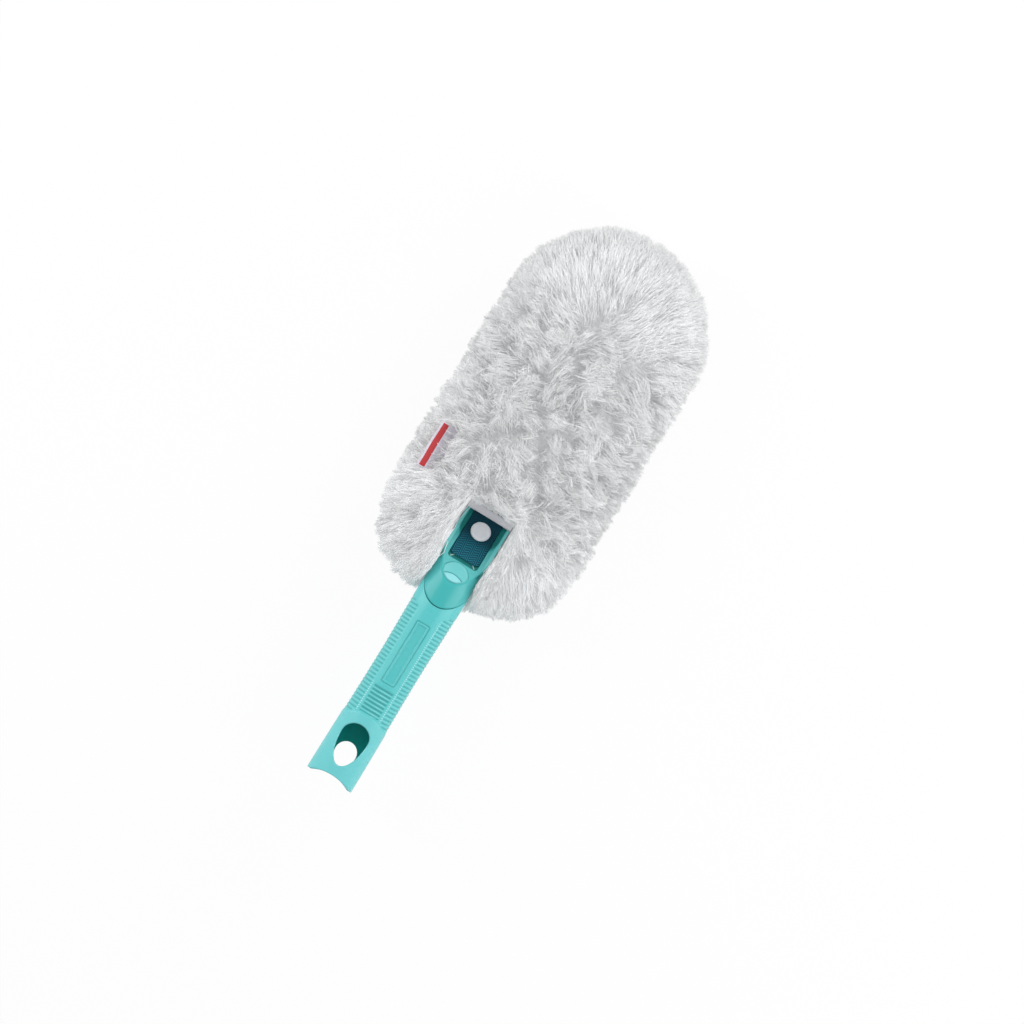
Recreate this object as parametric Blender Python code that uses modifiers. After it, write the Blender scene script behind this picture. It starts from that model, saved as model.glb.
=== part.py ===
"""Hand duster: a ribbed tubular grip, a scooped neck with a thumb button and a strap closure,
and a tufted cover drawn over a flat paddle blade.

The duster lies on its back. X runs across it, +Y from the grip's open end to the head, +Z up,
towards the side with the strap. Lengths are in metres. Inside the script, Y is measured from
the tips of the grip's open end and Z from the handle's axis, and one empty carries the whole
object to its place: centred, with the tufts it lies on at Z = 0.
"""
import math
import random

import bmesh
import bpy
from mathutils import Matrix, Vector

# Fits
GAP = 0.0003                    # between pieces that touch
OVERRUN = 0.003                 # how far a cutter reaches past what it cuts
MERGE = 0.00001
ROUND_STEPS = 36

# Grip
GRIP_END_RADIUS = 0.01765
GRIP_WAIST_RADIUS = 0.01675
GRIP_WAIST_Y = 0.095
GRIP_WALL = 0.00215
MOUTH_CURVE_RADIUS = 0.0315     # of the hollow across the open end
MOUTH_DEPTH = 0.0053
HOLE_HALF_WIDTH = 0.01035       # egg-shaped hanging hole in the front wall
HOLE_WIDEST_Y = 0.0357
HOLE_ROUND_HEIGHT = 0.0099
HOLE_LONG_HEIGHT = 0.0225
REAR_HOLE_RADIUS = 0.008
REAR_HOLE_Y = 0.0205
RIB_PITCH = 0.003
RIB_GROOVE_DEPTH = 0.0006
RIB_GROOVE_WIDTH = 0.0017
RIB_INNER_EDGE = 0.0102         # the ribbed flanks begin this far from the centre line
RIBS_LOW_INNER_Y = 0.0521
RIBS_LOW_OUTER_Y = 0.0479
RIBS_HIGH_INNER_Y = 0.1365
RIBS_HIGH_OUTER_Y = 0.1421
CREASE_HALF_SPACING = 0.0093
CREASE_RADIUS = 0.0005
CROSS_GROOVE_HALF_WIDTH = 0.0076
CROSS_LOW_Y = 0.0540
CROSS_HIGH_Y = 0.0756
PANEL_LOW_Y = 0.0791
PANEL_HIGH_Y = 0.1281
PANEL_HALF_WIDTH = 0.0051
PANEL_DEPTH = 0.0011
PANEL_CORNER = 0.0012

# Neck, with the seam where it meets the grip
NECK_RADIUS = 0.01735
SEAM_Y = 0.1425
SEAM_HALF_WIDTH = 0.018
SEAM_RISE = 0.021
SPIGOT_LENGTH = 0.0425
SPIGOT_WALL = 0.0025
SCOOP_TIP_Y = 0.1617
SCOOP_ANGLE = math.radians(27)
NECK_END_Y = 0.2136
NECK_SQUARE_FROM_Y = 0.172
NECK_END_HALF_HEIGHT = 0.018
NECK_END_SQUARENESS = 4.0
BORE_END_Y = 0.186
BORE_ROOF = 0.0046              # wall between the scoop and the bore

# Places on the scoop, measured down its slope from its tip
POCKET_START = 0.0181
POCKET_DEPTH = 0.0022
POCKET_CORNER = 0.002
CHANNEL_START = 0.0369
CHANNEL_HALF_WIDTH = 0.01435
CHANNEL_DEPTH = 0.0012
SNAP_ALONG = 0.0461

# Thumb button: two arcs bound it, a third bounds its raised lip
BUTTON_TOP_RADIUS = 0.0100
BUTTON_TOP_CENTRE = 0.0069
BUTTON_LOW_RADIUS = 0.0095
BUTTON_LOW_CENTRE = 0.0106
LIP_RADIUS = 0.0122
LIP_CENTRE = -0.0051
LIP_HEIGHT = 0.0007
BUTTON_STANDS = 0.0003
BUTTON_DEPTH = 0.0030
BUTTON_TRAVEL = 0.0015
BUTTON_WELL_SPARE = 0.0035

# Strap and press stud
STRAP_WIDTH = 0.0229
STRAP_THICKNESS = 0.0014
STRAP_END = 0.0220              # place of the free end on the scoop
STRAP_CORNER = 0.0025
HINGE_ALONG = 0.0573
STRAP_TAIL_END_Y = 0.230
CAP_RADIUS = 0.00735
CAP_HEIGHT = 0.0021
CAP_EDGE = 0.0007
CAP_POST_RADIUS = 0.0012
SOCKET_RADIUS = 0.00625
SOCKET_HEIGHT = 0.0024
SOCKET_WEB = 0.0006
SOCKET_CAVITY_RADIUS = 0.0030
STUD_BEAD_RADIUS = 0.0020
STUD_STEM_RADIUS = 0.0016
STUD_BASE_RADIUS = 0.0045
STUD_BASE_HEIGHT = 0.0006
STUD_HEIGHT = 0.0025
WELL_RADIUS = 0.00715           # round sink in the pocket's floor for the press stud

# Paddle blade and the cover's sleeve round it
BLADE_Z = -0.0146
BLADE_THICKNESS = 0.0024
BLADE_HALF_WIDTH = 0.033
BLADE_END_Y = 0.402
BEAD_RADIUS = 0.0017
BEAD_INSET = 0.0002             # its middle line, inside the blade's edge
TANG_HALF_WIDTH = 0.0115
TANG_START_Y = 0.191
SHOULDER_START_Y = 0.2165
SHOULDER_END_Y = 0.248
SPINE_HALF_WIDTH = 0.0022
SPINE_START_Y = 0.222
SPINE_END_Y = 0.388
SLEEVE_CLOTH = 0.0010
SLEEVE_SEAM = 0.0015
SLEEVE_INSET = 0.031            # from the head's near end

# Hem at the cover's mouth
HEM_START_Y = 0.2140
HEM_WIDTH = 0.0054
HEM_THICKNESS = 0.0013
HEM_HALF_LENGTH = 0.0178

# Tufted pile
HEAD_START_Y = 0.1515
HEAD_END_Y = 0.4417
HEAD_HALF_WIDTH = 0.0756
HEAD_HALF_DEPTH = 0.0400
TUFT_LENGTH = 0.0145
STRAIGHT_ROWS = 10
CAP_ROWS = 6
COLUMNS = 10
GRID_STRAY_SHARE = 0.26         # how far a grid point strays, against its cell
TUFT_TIP_SHARE = 0.46           # width of a tuft's tip against its cell
TUFT_WAIST_SHARE = 0.83
WAIST_HEIGHT_SHARE = 0.5
WAIST_SWAY_SHARE = 0.25
TIP_SWAY_SHARE = 0.42           # of the room from a tip's middle to the edge of its cell
TIP_DROP = 0.0030
REST_CUT = 0.0005               # the tufts that it lies on are cut flat this deep
NOTCH_SIDE = 0.00085
NOTCH_LEAN = math.radians(20)
NOTCH_MARGIN = 0.0012

# Side label, a folded woven tab
LABEL_TIP_SHARE = 0.836         # how far out the label's fold lies, against the head's half width
LABEL_LOW_Y = 0.2199
LABEL_LENGTH = 0.036
LABEL_REACH = 0.0215
LABEL_THICKNESS = 0.0010
LABEL_TILT = math.radians(32)
LABEL_MARGIN = 0.0008

# Planes that outlines are drawn in: each takes an outline's x, y and depth to the object's axes
ALONG_AND_UP = Matrix(((0, 0, 1, 0), (1, 0, 0, 0), (0, 1, 0, 0), (0, 0, 0, 1)))
ACROSS_AND_UP = Matrix(((1, 0, 0, 0), (0, 0, -1, 0), (0, 1, 0, 0), (0, 0, 0, 1)))
TURNED_ALONG = Matrix.Rotation(-math.pi / 2, 4, "X")


# Scene and materials

def start_scene():
    """Empty the scene and give the collections for the parts and their cutters."""
    for thing in list(bpy.data.objects):
        bpy.data.objects.remove(thing)
    groups = []
    for name in ("hand_duster", "cutters"):
        group = bpy.data.collections.new(name)
        bpy.context.scene.collection.children.link(group)
        groups.append(group)
    return groups


def make_material(name, colour, roughness):
    material = bpy.data.materials.new(name)
    material.use_nodes = True
    shader = material.node_tree.nodes["Principled BSDF"]
    shader.inputs["Base Color"].default_value = (*colour, 1)
    shader.inputs["Roughness"].default_value = roughness
    shader.inputs["Metallic"].default_value = 0
    return material


PARTS, CUTTERS = start_scene()
TURQUOISE = (0.10, 0.56, 0.55)
FINISHES = {
    "grip": ("grip_plastic", TURQUOISE, 0.45),
    "neck": ("neck_plastic", TURQUOISE, 0.40),
    "release_button": ("button_plastic", TURQUOISE, 0.40),
    "paddle_blade": ("blade_plastic", (0.80, 0.82, 0.82), 0.50),
    "cover_sleeve": ("sleeve_cloth", (0.78, 0.79, 0.80), 0.90),
    "pile_front": ("front_pile", (0.82, 0.83, 0.84), 0.95),
    "pile_back": ("back_pile", (0.80, 0.81, 0.82), 0.95),
    "hem_band": ("hem_tape", (0.70, 0.71, 0.78), 0.85),
    "closure_strap": ("strap_webbing", (0.005, 0.09, 0.15), 0.80),
    "strap_tail": ("tail_webbing", (0.005, 0.09, 0.15), 0.80),
    "snap_cap": ("cap_plastic", (0.66, 0.66, 0.71), 0.30),
    "snap_socket": ("socket_plastic", (0.66, 0.66, 0.71), 0.35),
    "snap_stud": ("stud_plastic", (0.66, 0.66, 0.71), 0.35),
    "side_label": ("label_weave", (0.75, 0.72, 0.78), 0.80),
}


# Making pieces

def add_frame(name, parent=None, location=(0, 0, 0), turn=0.0):
    """An empty that carries pieces, turned about X."""
    frame = bpy.data.objects.new(name, None)
    PARTS.objects.link(frame)
    frame.parent = parent
    frame.location = location
    frame.rotation_euler = (turn, 0, 0)
    return frame


def add_object(name, mesh, parent, location=(0, 0, 0)):
    """A piece with its material, or a cutter if the name has no finish."""
    thing = bpy.data.objects.new(name, mesh)
    thing.parent = parent
    thing.location = location
    if name in FINISHES:
        PARTS.objects.link(thing)
        mesh.materials.append(make_material(*FINISHES[name]))
    else:
        CUTTERS.objects.link(thing)
        thing.hide_render = True
        thing.display_type = "WIRE"
    return thing


def mesh_from(bm, name, smooth_angle=35):
    """A mesh from welded, outward-facing bmesh faces, smooth below the given angle."""
    bmesh.ops.remove_doubles(bm, verts=bm.verts, dist=MERGE)
    bmesh.ops.recalc_face_normals(bm, faces=bm.faces)
    mesh = bpy.data.meshes.new(name)
    bm.to_mesh(mesh)
    bm.free()
    mesh.shade_smooth()
    mesh.set_sharp_from_angle(angle=math.radians(smooth_angle))
    return mesh


def mesh_of_curve(curve, name, placing):
    """The closed mesh that a curve's fill or bevel makes."""
    holder = bpy.data.objects.new(name, curve)
    bpy.context.scene.collection.objects.link(holder)
    evaluated = holder.evaluated_get(bpy.context.evaluated_depsgraph_get())
    drawn = bpy.data.meshes.new_from_object(evaluated)
    bm = bmesh.new()
    bm.from_mesh(drawn)
    bm.transform(placing)
    bpy.data.objects.remove(holder)
    bpy.data.curves.remove(curve)
    bpy.data.meshes.remove(drawn)
    return mesh_from(bm, name)


def add_points(curve, points, closed):
    spline = curve.splines.new("POLY")
    spline.points.add(len(points) - 1)
    for spot, place in zip(spline.points, points):
        spot.co = (*place, 0, 1) if len(place) == 2 else (*place, 1)
    spline.use_cyclic_u = closed


def prism(name, outlines, low, high, parent, plane=Matrix.Identity(4)):
    """Flat outlines, filled and thickened from low to high across their plane."""
    curve = bpy.data.curves.new(name, "CURVE")
    curve.dimensions = "2D"
    curve.fill_mode = "BOTH"
    curve.extrude = (high - low) / 2
    for outline in outlines:
        add_points(curve, outline, True)
    lift = Matrix.Translation((0, 0, (low + high) / 2))
    return add_object(name, mesh_of_curve(curve, name, plane @ lift), parent)


def rod(name, routes, radius, resolution, parent):
    """Round rods that follow the given routes, with filled ends."""
    curve = bpy.data.curves.new(name, "CURVE")
    curve.dimensions = "3D"
    curve.bevel_depth = radius
    curve.bevel_resolution = resolution
    curve.use_fill_caps = True
    for route in routes:
        add_points(curve, route, False)
    return add_object(name, mesh_of_curve(curve, name, Matrix.Identity(4)), parent)


def block(name, low, high, parent):
    """A box between two corners."""
    bm = bmesh.new()
    bmesh.ops.create_cube(bm, size=1)
    low, high = Vector(low), Vector(high)
    size = high - low
    bm.transform(Matrix.Translation((low + high) / 2) @ Matrix.Diagonal((*size, 1)))
    return add_object(name, mesh_from(bm, name), parent)


def turned(name, loops, parent, location=(0, 0, 0), along=False, closed=True, steps=ROUND_STEPS):
    """Profiles of (radius, height), outer side first and downwards, turned about Z or along Y."""
    mesh = bpy.data.meshes.new(name)
    places, edges = [], []
    for loop in loops:
        first = len(places)
        places += [(radius, 0, height) for radius, height in loop]
        edges += [(first + k, first + k + 1) for k in range(len(loop) - 1)]
        if closed:
            edges.append((first + len(loop) - 1, first))
    mesh.from_pydata(places, edges, [])
    thing = add_object(name, mesh, parent, location)
    if along:
        thing.rotation_euler = TURNED_ALONG.to_euler()
    screw = thing.modifiers.new("turn", "SCREW")
    screw.axis = "Z"
    screw.angle = math.tau
    screw.steps = steps
    screw.render_steps = steps
    screw.use_merge_vertices = True
    screw.merge_threshold = MERGE
    screw.use_smooth_shade = False
    return thing


def apply_tool(piece, tool, operation="DIFFERENCE"):
    step = piece.modifiers.new(tool.name, "BOOLEAN")
    step.operation = operation
    step.object = tool


def ease(share):
    """From 0 to 1 with level ends."""
    return (1 - math.cos(math.pi * share)) / 2


def arc(centre, radius, start, end, steps):
    """Points on an arc, or on an ellipse if radius is a pair."""
    wide, high = radius if isinstance(radius, tuple) else (radius, radius)
    angles = [start + (end - start) * k / steps for k in range(steps + 1)]
    return [(centre[0] + wide * math.cos(a), centre[1] + high * math.sin(a)) for a in angles]


def rounded_box_outline(half_width, low, high, corner, steps=4):
    quarter = math.pi / 2
    spots = ((half_width, high, 0), (-half_width, high, 1), (-half_width, low, 2), (half_width, low, 3))
    points = []
    for x, y, turn in spots:
        centre = (x - math.copysign(corner, x), y + (corner if y == low else -corner))
        points += arc(centre, corner, turn * quarter, (turn + 1) * quarter, steps)
    return points


# Grip

def grip_radius(y):
    """Outer radius: widest at both ends, drawn in at the waist."""
    if y < GRIP_WAIST_Y:
        return GRIP_END_RADIUS + (GRIP_WAIST_RADIUS - GRIP_END_RADIUS) * ease(y / GRIP_WAIST_Y)
    share = min(1.0, (y - GRIP_WAIST_Y) / (SEAM_Y - GRIP_WAIST_Y))
    return GRIP_WAIST_RADIUS + (NECK_RADIUS - GRIP_WAIST_RADIUS) * ease(share)


GRIP_BORE_RADIUS = GRIP_WAIST_RADIUS - GRIP_WALL
SEAM_CENTRE_Y = SEAM_Y + SEAM_RISE


def seam_outline(clearance):
    """The seam's half ellipse, open towards the head, drawn in by a clearance."""
    side = SEAM_HALF_WIDTH - clearance
    bowl = arc((0, SEAM_CENTRE_Y), (side, SEAM_RISE - clearance), math.pi, math.tau, 24)
    return bowl + [(side, NECK_END_Y + OVERRUN), (-side, NECK_END_Y + OVERRUN)]


def make_grip(duster):
    stations = [SEAM_CENTRE_Y * (1 - k / 12) for k in range(13)]
    outside = [(grip_radius(y), y) for y in stations]
    grip = turned("grip", [outside + [(GRIP_BORE_RADIUS, 0), (GRIP_BORE_RADIUS, SEAM_CENTRE_Y)]],
                  duster, along=True)
    reach = GRIP_END_RADIUS + OVERRUN
    apply_tool(grip, prism("grip_seam_cutter", [seam_outline(0)], -reach, reach, duster))
    mouth = arc((0, MOUTH_DEPTH - MOUTH_CURVE_RADIUS), MOUTH_CURVE_RADIUS, 0, math.tau, 64)[:-1]
    apply_tool(grip, prism("grip_mouth_cutter", [mouth], -reach, reach, duster))
    egg = arc((0, HOLE_WIDEST_Y), (HOLE_HALF_WIDTH, HOLE_ROUND_HEIGHT), 0, math.pi, 12)
    egg += arc((0, HOLE_WIDEST_Y), (HOLE_HALF_WIDTH, HOLE_LONG_HEIGHT), math.pi, math.tau, 16)[1:-1]
    apply_tool(grip, prism("hanging_hole_cutter", [egg], 0, reach, duster))
    rear = arc((0, REAR_HOLE_Y), REAR_HOLE_RADIUS, 0, math.tau, 24)[:-1]
    apply_tool(grip, prism("rear_hole_cutter", [rear], -reach, 0, duster))
    panel = rounded_box_outline(PANEL_HALF_WIDTH, PANEL_LOW_Y, PANEL_HIGH_Y, PANEL_CORNER)
    floor = GRIP_WAIST_RADIUS - PANEL_DEPTH
    apply_tool(grip, prism("panel_cutter", [panel], floor, reach, duster))
    apply_tool(grip, rib_grooves(duster, reach))
    apply_tool(grip, creases(duster))
    return grip


def rib_grooves(duster, reach):
    """Rings of V section, kept only on the flanks and on the strip below the bare panel."""
    loops = []
    count = int((RIBS_HIGH_OUTER_Y - RIBS_LOW_OUTER_Y) / RIB_PITCH)
    for k in range(count):
        y = RIBS_LOW_OUTER_Y + RIB_PITCH * (k + 0.5)
        surface = grip_radius(y)
        half = RIB_GROOVE_WIDTH / 2 * (RIB_GROOVE_DEPTH + OVERRUN) / RIB_GROOVE_DEPTH
        half = min(half, RIB_PITCH * 0.45)
        loops.append([(surface + RIB_GROOVE_DEPTH, y + half), (surface + RIB_GROOVE_DEPTH, y - half),
                      (surface - RIB_GROOVE_DEPTH, y)])
    rings = turned("rib_rings_cutter", loops, duster, along=True)
    zones = []
    for side in (1, -1):
        corners = [(RIB_INNER_EDGE, RIBS_LOW_INNER_Y), (reach, RIBS_LOW_OUTER_Y),
                   (reach, RIBS_HIGH_OUTER_Y), (RIB_INNER_EDGE, RIBS_HIGH_INNER_Y)]
        zones.append([(side * x, y) for x, y in corners])
    half = CROSS_GROOVE_HALF_WIDTH
    zones.append([(-half, CROSS_LOW_Y), (half, CROSS_LOW_Y), (half, CROSS_HIGH_Y), (-half, CROSS_HIGH_Y)])
    flanks = prism("rib_flanks_cutter", zones[:2], -reach, reach, duster)
    strip = prism("rib_strip_cutter", zones[2:], 0, reach, duster)
    apply_tool(flanks, strip, "UNION")
    apply_tool(rings, flanks, "INTERSECT")
    return rings


def creases(duster):
    """Thin rods along the edges of the flat strip on the front and on the back."""
    routes = []
    stations = [RIBS_LOW_INNER_Y + (RIBS_HIGH_INNER_Y - RIBS_LOW_INNER_Y) * k / 6 for k in range(7)]
    for across in (1, -1):
        for up in (1, -1):
            route = []
            for y in stations:
                height = math.sqrt(grip_radius(y) ** 2 - CREASE_HALF_SPACING ** 2)
                route.append((across * CREASE_HALF_SPACING, y, up * height))
            routes.append(route)
    return rod("crease_cutter", routes, CREASE_RADIUS, 0, duster)


# Neck

def neck_section(y):
    """Half width, half height and squareness of the neck at a station."""
    share = max(0.0, (y - NECK_SQUARE_FROM_Y) / (NECK_END_Y - NECK_SQUARE_FROM_Y))
    height = NECK_RADIUS + (NECK_END_HALF_HEIGHT - NECK_RADIUS) * ease(share)
    return NECK_RADIUS, height, 2 + (NECK_END_SQUARENESS - 2) * ease(share)


def section_ring(bm, y, half_width, half_height, squareness):
    ring = []
    for k in range(ROUND_STEPS):
        angle = math.tau * k / ROUND_STEPS
        across, up = math.cos(angle), math.sin(angle)
        x = math.copysign(abs(across) ** (2 / squareness), across) * half_width
        z = math.copysign(abs(up) ** (2 / squareness), up) * half_height
        ring.append(bm.verts.new((x, y, z)))
    return ring


def loft(name, stations, parent):
    """Sections of growing squareness, bridged into one closed body."""
    bm = bmesh.new()
    rings = [section_ring(bm, y, *neck_section(y)) for y in stations]
    for low, high in zip(rings, rings[1:]):
        for k in range(ROUND_STEPS):
            after = (k + 1) % ROUND_STEPS
            bm.faces.new((low[k], low[after], high[after], high[k]))
    bm.faces.new(rings[0])
    bm.faces.new(rings[-1])
    return add_object(name, mesh_from(bm, name), parent)


def make_neck(duster, scoop):
    straight = [SEAM_Y, SEAM_CENTRE_Y, NECK_SQUARE_FROM_Y]
    widening = [NECK_SQUARE_FROM_Y + (NECK_END_Y - NECK_SQUARE_FROM_Y) * k / 5 for k in range(1, 6)]
    neck = loft("neck", straight + widening, duster)
    reach = NECK_END_HALF_HEIGHT + OVERRUN
    apply_tool(neck, prism("neck_seam_keeper", [seam_outline(GAP)], -reach, reach, duster), "INTERSECT")
    spigot_radius = GRIP_BORE_RADIUS - GAP
    low, high = SEAM_Y - SPIGOT_LENGTH, SEAM_CENTRE_Y
    spigot = turned("spigot_joiner", [[(0, high), (spigot_radius, high), (spigot_radius, low), (0, low)]],
                    duster, along=True, closed=False)
    apply_tool(neck, spigot, "UNION")
    far = SCOOP_TIP_Y + NECK_END_Y
    apply_tool(neck, block("scoop_cutter", (-reach, -far, 0), (reach, far, far), scoop))
    apply_tool(neck, bore_cutter(duster, spigot_radius - SPIGOT_WALL, low - OVERRUN))
    half = STRAP_WIDTH / 2 + GAP
    beyond = NECK_END_Y
    pocket = rounded_box_outline(half, POCKET_START, beyond, POCKET_CORNER)
    apply_tool(neck, prism("pocket_cutter", [pocket], -POCKET_DEPTH, OVERRUN, scoop))
    channel = rounded_box_outline(CHANNEL_HALF_WIDTH, CHANNEL_START, beyond, POCKET_CORNER)
    apply_tool(neck, prism("channel_cutter", [channel], -CHANNEL_DEPTH, OVERRUN, scoop))
    well = arc((0, SNAP_ALONG), WELL_RADIUS, 0, math.tau, ROUND_STEPS)[:-1]
    apply_tool(neck, prism("stud_well_cutter", [well], STUD_SEAT - GAP, OVERRUN, scoop))
    apply_tool(neck, prism("button_well_cutter", [button_outline(GAP)],
                           -BUTTON_DEPTH - BUTTON_TRAVEL - BUTTON_WELL_SPARE, OVERRUN, scoop))
    slot_x = TANG_HALF_WIDTH + GAP
    slot_z = BLADE_THICKNESS / 2 + GAP
    apply_tool(neck, block("tang_slot_cutter", (-slot_x, TANG_START_Y - GAP, BLADE_Z - slot_z),
                           (slot_x, NECK_END_Y + OVERRUN, BLADE_Z + slot_z), duster))
    return neck


def bore_cutter(duster, radius, start):
    """The hollow of the neck: a cylinder whose roof runs parallel to the scoop."""
    bm = bmesh.new()
    bmesh.ops.create_cone(bm, cap_ends=True, segments=ROUND_STEPS, radius1=radius, radius2=radius,
                          depth=BORE_END_Y - start)
    bm.transform(Matrix.Translation((0, (BORE_END_Y + start) / 2, 0)) @ TURNED_ALONG)
    slope = Vector((0, math.sin(SCOOP_ANGLE), math.cos(SCOOP_ANGLE)))
    roof = Vector((0, SCOOP_TIP_Y, NECK_RADIUS)) - slope * BORE_ROOF
    geometry = bm.verts[:] + bm.edges[:] + bm.faces[:]
    bmesh.ops.bisect_plane(bm, geom=geometry, plane_co=roof, plane_no=slope, clear_outer=True)
    bmesh.ops.holes_fill(bm, edges=bm.edges, sides=0)
    return add_object("neck_bore_cutter", mesh_from(bm, "neck_bore_cutter"), duster)


# Thumb button

def crossing(radius_a, centre_a, radius_b, centre_b):
    """Half width and place at which two circles on the centre line cross."""
    place = (radius_a ** 2 - centre_a ** 2 - radius_b ** 2 + centre_b ** 2) / (2 * (centre_b - centre_a))
    return math.sqrt(radius_a ** 2 - (place - centre_a) ** 2), place


def lens_outline(top_radius, top_centre, clearance, steps=12):
    """The shape between an upper arc and the button's lower arc."""
    top_radius += clearance
    low_radius = BUTTON_LOW_RADIUS + clearance
    half, place = crossing(top_radius, top_centre, low_radius, BUTTON_LOW_CENTRE)
    start = math.atan2(place - top_centre, half)
    upper = arc((0, top_centre), top_radius, start, math.pi - start, steps)
    fall = math.atan2(place - BUTTON_LOW_CENTRE, -half) % math.tau
    rise = math.tau + math.atan2(place - BUTTON_LOW_CENTRE, half)
    if rise > 2 * math.tau - fall:
        rise -= math.tau
    return upper + arc((0, BUTTON_LOW_CENTRE), low_radius, fall, rise, steps)[1:-1]


def button_outline(clearance):
    return lens_outline(BUTTON_TOP_RADIUS, BUTTON_TOP_CENTRE, clearance)


def make_button(scoop):
    button = prism("release_button", [button_outline(0)], -BUTTON_DEPTH, BUTTON_STANDS, scoop)
    lip = prism("button_lip_joiner", [lens_outline(LIP_RADIUS, LIP_CENTRE, -GAP)],
                -BUTTON_DEPTH / 2, BUTTON_STANDS + LIP_HEIGHT, scoop)
    apply_tool(button, lip, "UNION")
    return button


# Strap and press stud, in heights above the scoop

STRAP_UNDER = -POCKET_DEPTH + GAP
STRAP_TOP = STRAP_UNDER + STRAP_THICKNESS
STRAP_MIDDLE = (STRAP_UNDER + STRAP_TOP) / 2
SOCKET_TOP = STRAP_UNDER - GAP
SOCKET_UNDER = SOCKET_TOP - SOCKET_HEIGHT
STUD_SEAT = SOCKET_UNDER - GAP - STUD_BASE_HEIGHT
POST_UNDER = SOCKET_TOP - SOCKET_WEB
HINGE_TURN_RADIUS = STRAP_THICKNESS / 2


def make_strap(scoop, hinge):
    """The flap ends in a half round on its hinge line, so that it turns clear of its tail."""
    round_end = arc((HINGE_ALONG, STRAP_MIDDLE), HINGE_TURN_RADIUS, -math.pi / 2, math.pi / 2, 6)
    side = round_end + [(STRAP_END, STRAP_TOP), (STRAP_END, STRAP_UNDER)]
    half = STRAP_WIDTH / 2
    strap = prism("closure_strap", [side], -half, half, hinge, ALONG_AND_UP)
    hang(strap, hinge)
    outline = rounded_box_outline(half, STRAP_END, HINGE_ALONG + STRAP_CORNER + OVERRUN, STRAP_CORNER)
    keeper = prism("strap_corner_keeper", [outline], STRAP_UNDER - OVERRUN, STRAP_TOP + OVERRUN, scoop)
    apply_tool(strap, keeper, "INTERSECT")
    hole = arc((0, SNAP_ALONG), CAP_POST_RADIUS + GAP, 0, math.tau, 16)[:-1]
    apply_tool(strap, prism("post_hole_cutter", [hole], STRAP_UNDER - OVERRUN, STRAP_TOP + OVERRUN, scoop))
    return strap


def hang(piece, hinge):
    """Keep a piece drawn in the scoop's frame in place under the empty on its hinge line."""
    piece.parent = hinge
    piece.location = -hinge.location


def make_snap(scoop, hinge):
    under, top = STRAP_TOP + GAP, STRAP_TOP + GAP + CAP_HEIGHT
    dome = [(CAP_RADIUS * math.sin(math.pi / 2 * k / 6),
             under + CAP_EDGE + (CAP_HEIGHT - CAP_EDGE) * math.cos(math.pi / 2 * k / 6)) for k in range(7)]
    profile = dome + [(CAP_RADIUS, under), (CAP_POST_RADIUS, under), (CAP_POST_RADIUS, POST_UNDER), (0, POST_UNDER)]
    place = (0, SNAP_ALONG, 0)
    cap = turned("snap_cap", [profile], hinge, place, closed=False)
    ring = [(SOCKET_RADIUS, SOCKET_TOP), (SOCKET_RADIUS, SOCKET_UNDER), (SOCKET_CAVITY_RADIUS, SOCKET_UNDER),
            (SOCKET_CAVITY_RADIUS, POST_UNDER), (CAP_POST_RADIUS + GAP, POST_UNDER),
            (CAP_POST_RADIUS + GAP, SOCKET_TOP)]
    socket = turned("snap_socket", [ring], hinge, place)
    for piece in (cap, socket):
        piece.location = Vector(place) - hinge.location
    base_top = STUD_SEAT + STUD_BASE_HEIGHT
    head = STUD_SEAT + STUD_HEIGHT
    neck_height = (base_top + head) / 2
    stud = [(0, head), (STUD_STEM_RADIUS, head), (STUD_BEAD_RADIUS, (head + neck_height) / 2),
            (STUD_STEM_RADIUS, neck_height), (STUD_STEM_RADIUS, base_top), (STUD_BASE_RADIUS, base_top),
            (STUD_BASE_RADIUS, STUD_SEAT), (0, STUD_SEAT)]
    turned("snap_stud", [stud], scoop, place, closed=False, steps=24)


def make_strap_tail(duster):
    """The sewn end: it leaves the hinge down the slope, then lies on the sleeve."""
    cos, sin = math.cos(SCOOP_ANGLE), math.sin(SCOOP_ANGLE)
    along = HINGE_ALONG + HINGE_TURN_RADIUS + GAP
    start = Vector((SCOOP_TIP_Y + along * cos + STRAP_MIDDLE * sin,
                    NECK_RADIUS - along * sin + STRAP_MIDDLE * cos))
    half = STRAP_THICKNESS / 2
    level = SLEEVE_TOP_Z + GAP + half
    bend_y = start.x + (start.y - level) / math.tan(SCOOP_ANGLE)
    across = Vector((sin, cos)) * half
    turn = half * math.tan(SCOOP_ANGLE / 2)
    outline = [tuple(start - across), (bend_y - turn, level - half), (STRAP_TAIL_END_Y, level - half),
               (STRAP_TAIL_END_Y, level + half), (bend_y + turn, level + half), tuple(start + across)]
    return prism("strap_tail", [outline], -STRAP_WIDTH / 2, STRAP_WIDTH / 2, duster, ALONG_AND_UP)


# Blade, sleeve and hem

SLEEVE_HALF_THICKNESS = BEAD_RADIUS + GAP + SLEEVE_CLOTH
SLEEVE_TOP_Z = BLADE_Z + SLEEVE_HALF_THICKNESS
SLEEVE_GROWTH = BEAD_RADIUS + GAP + SLEEVE_SEAM
NOTCH_HALF_WIDTH = NECK_RADIUS + NOTCH_SIDE


def blade_side(grow):
    """Right edge of the blade from its shoulder to the start of the round end, moved out square to itself."""
    points = []
    widening, length = BLADE_HALF_WIDTH - TANG_HALF_WIDTH, SHOULDER_END_Y - SHOULDER_START_Y
    for k in range(9):
        share = k / 8
        slope = math.atan(widening / length * math.pi / 2 * math.sin(math.pi * share))
        x = TANG_HALF_WIDTH + widening * ease(share) + grow * math.cos(slope)
        points.append((x, SHOULDER_START_Y + length * share - grow * math.sin(slope)))
    return points


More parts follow.
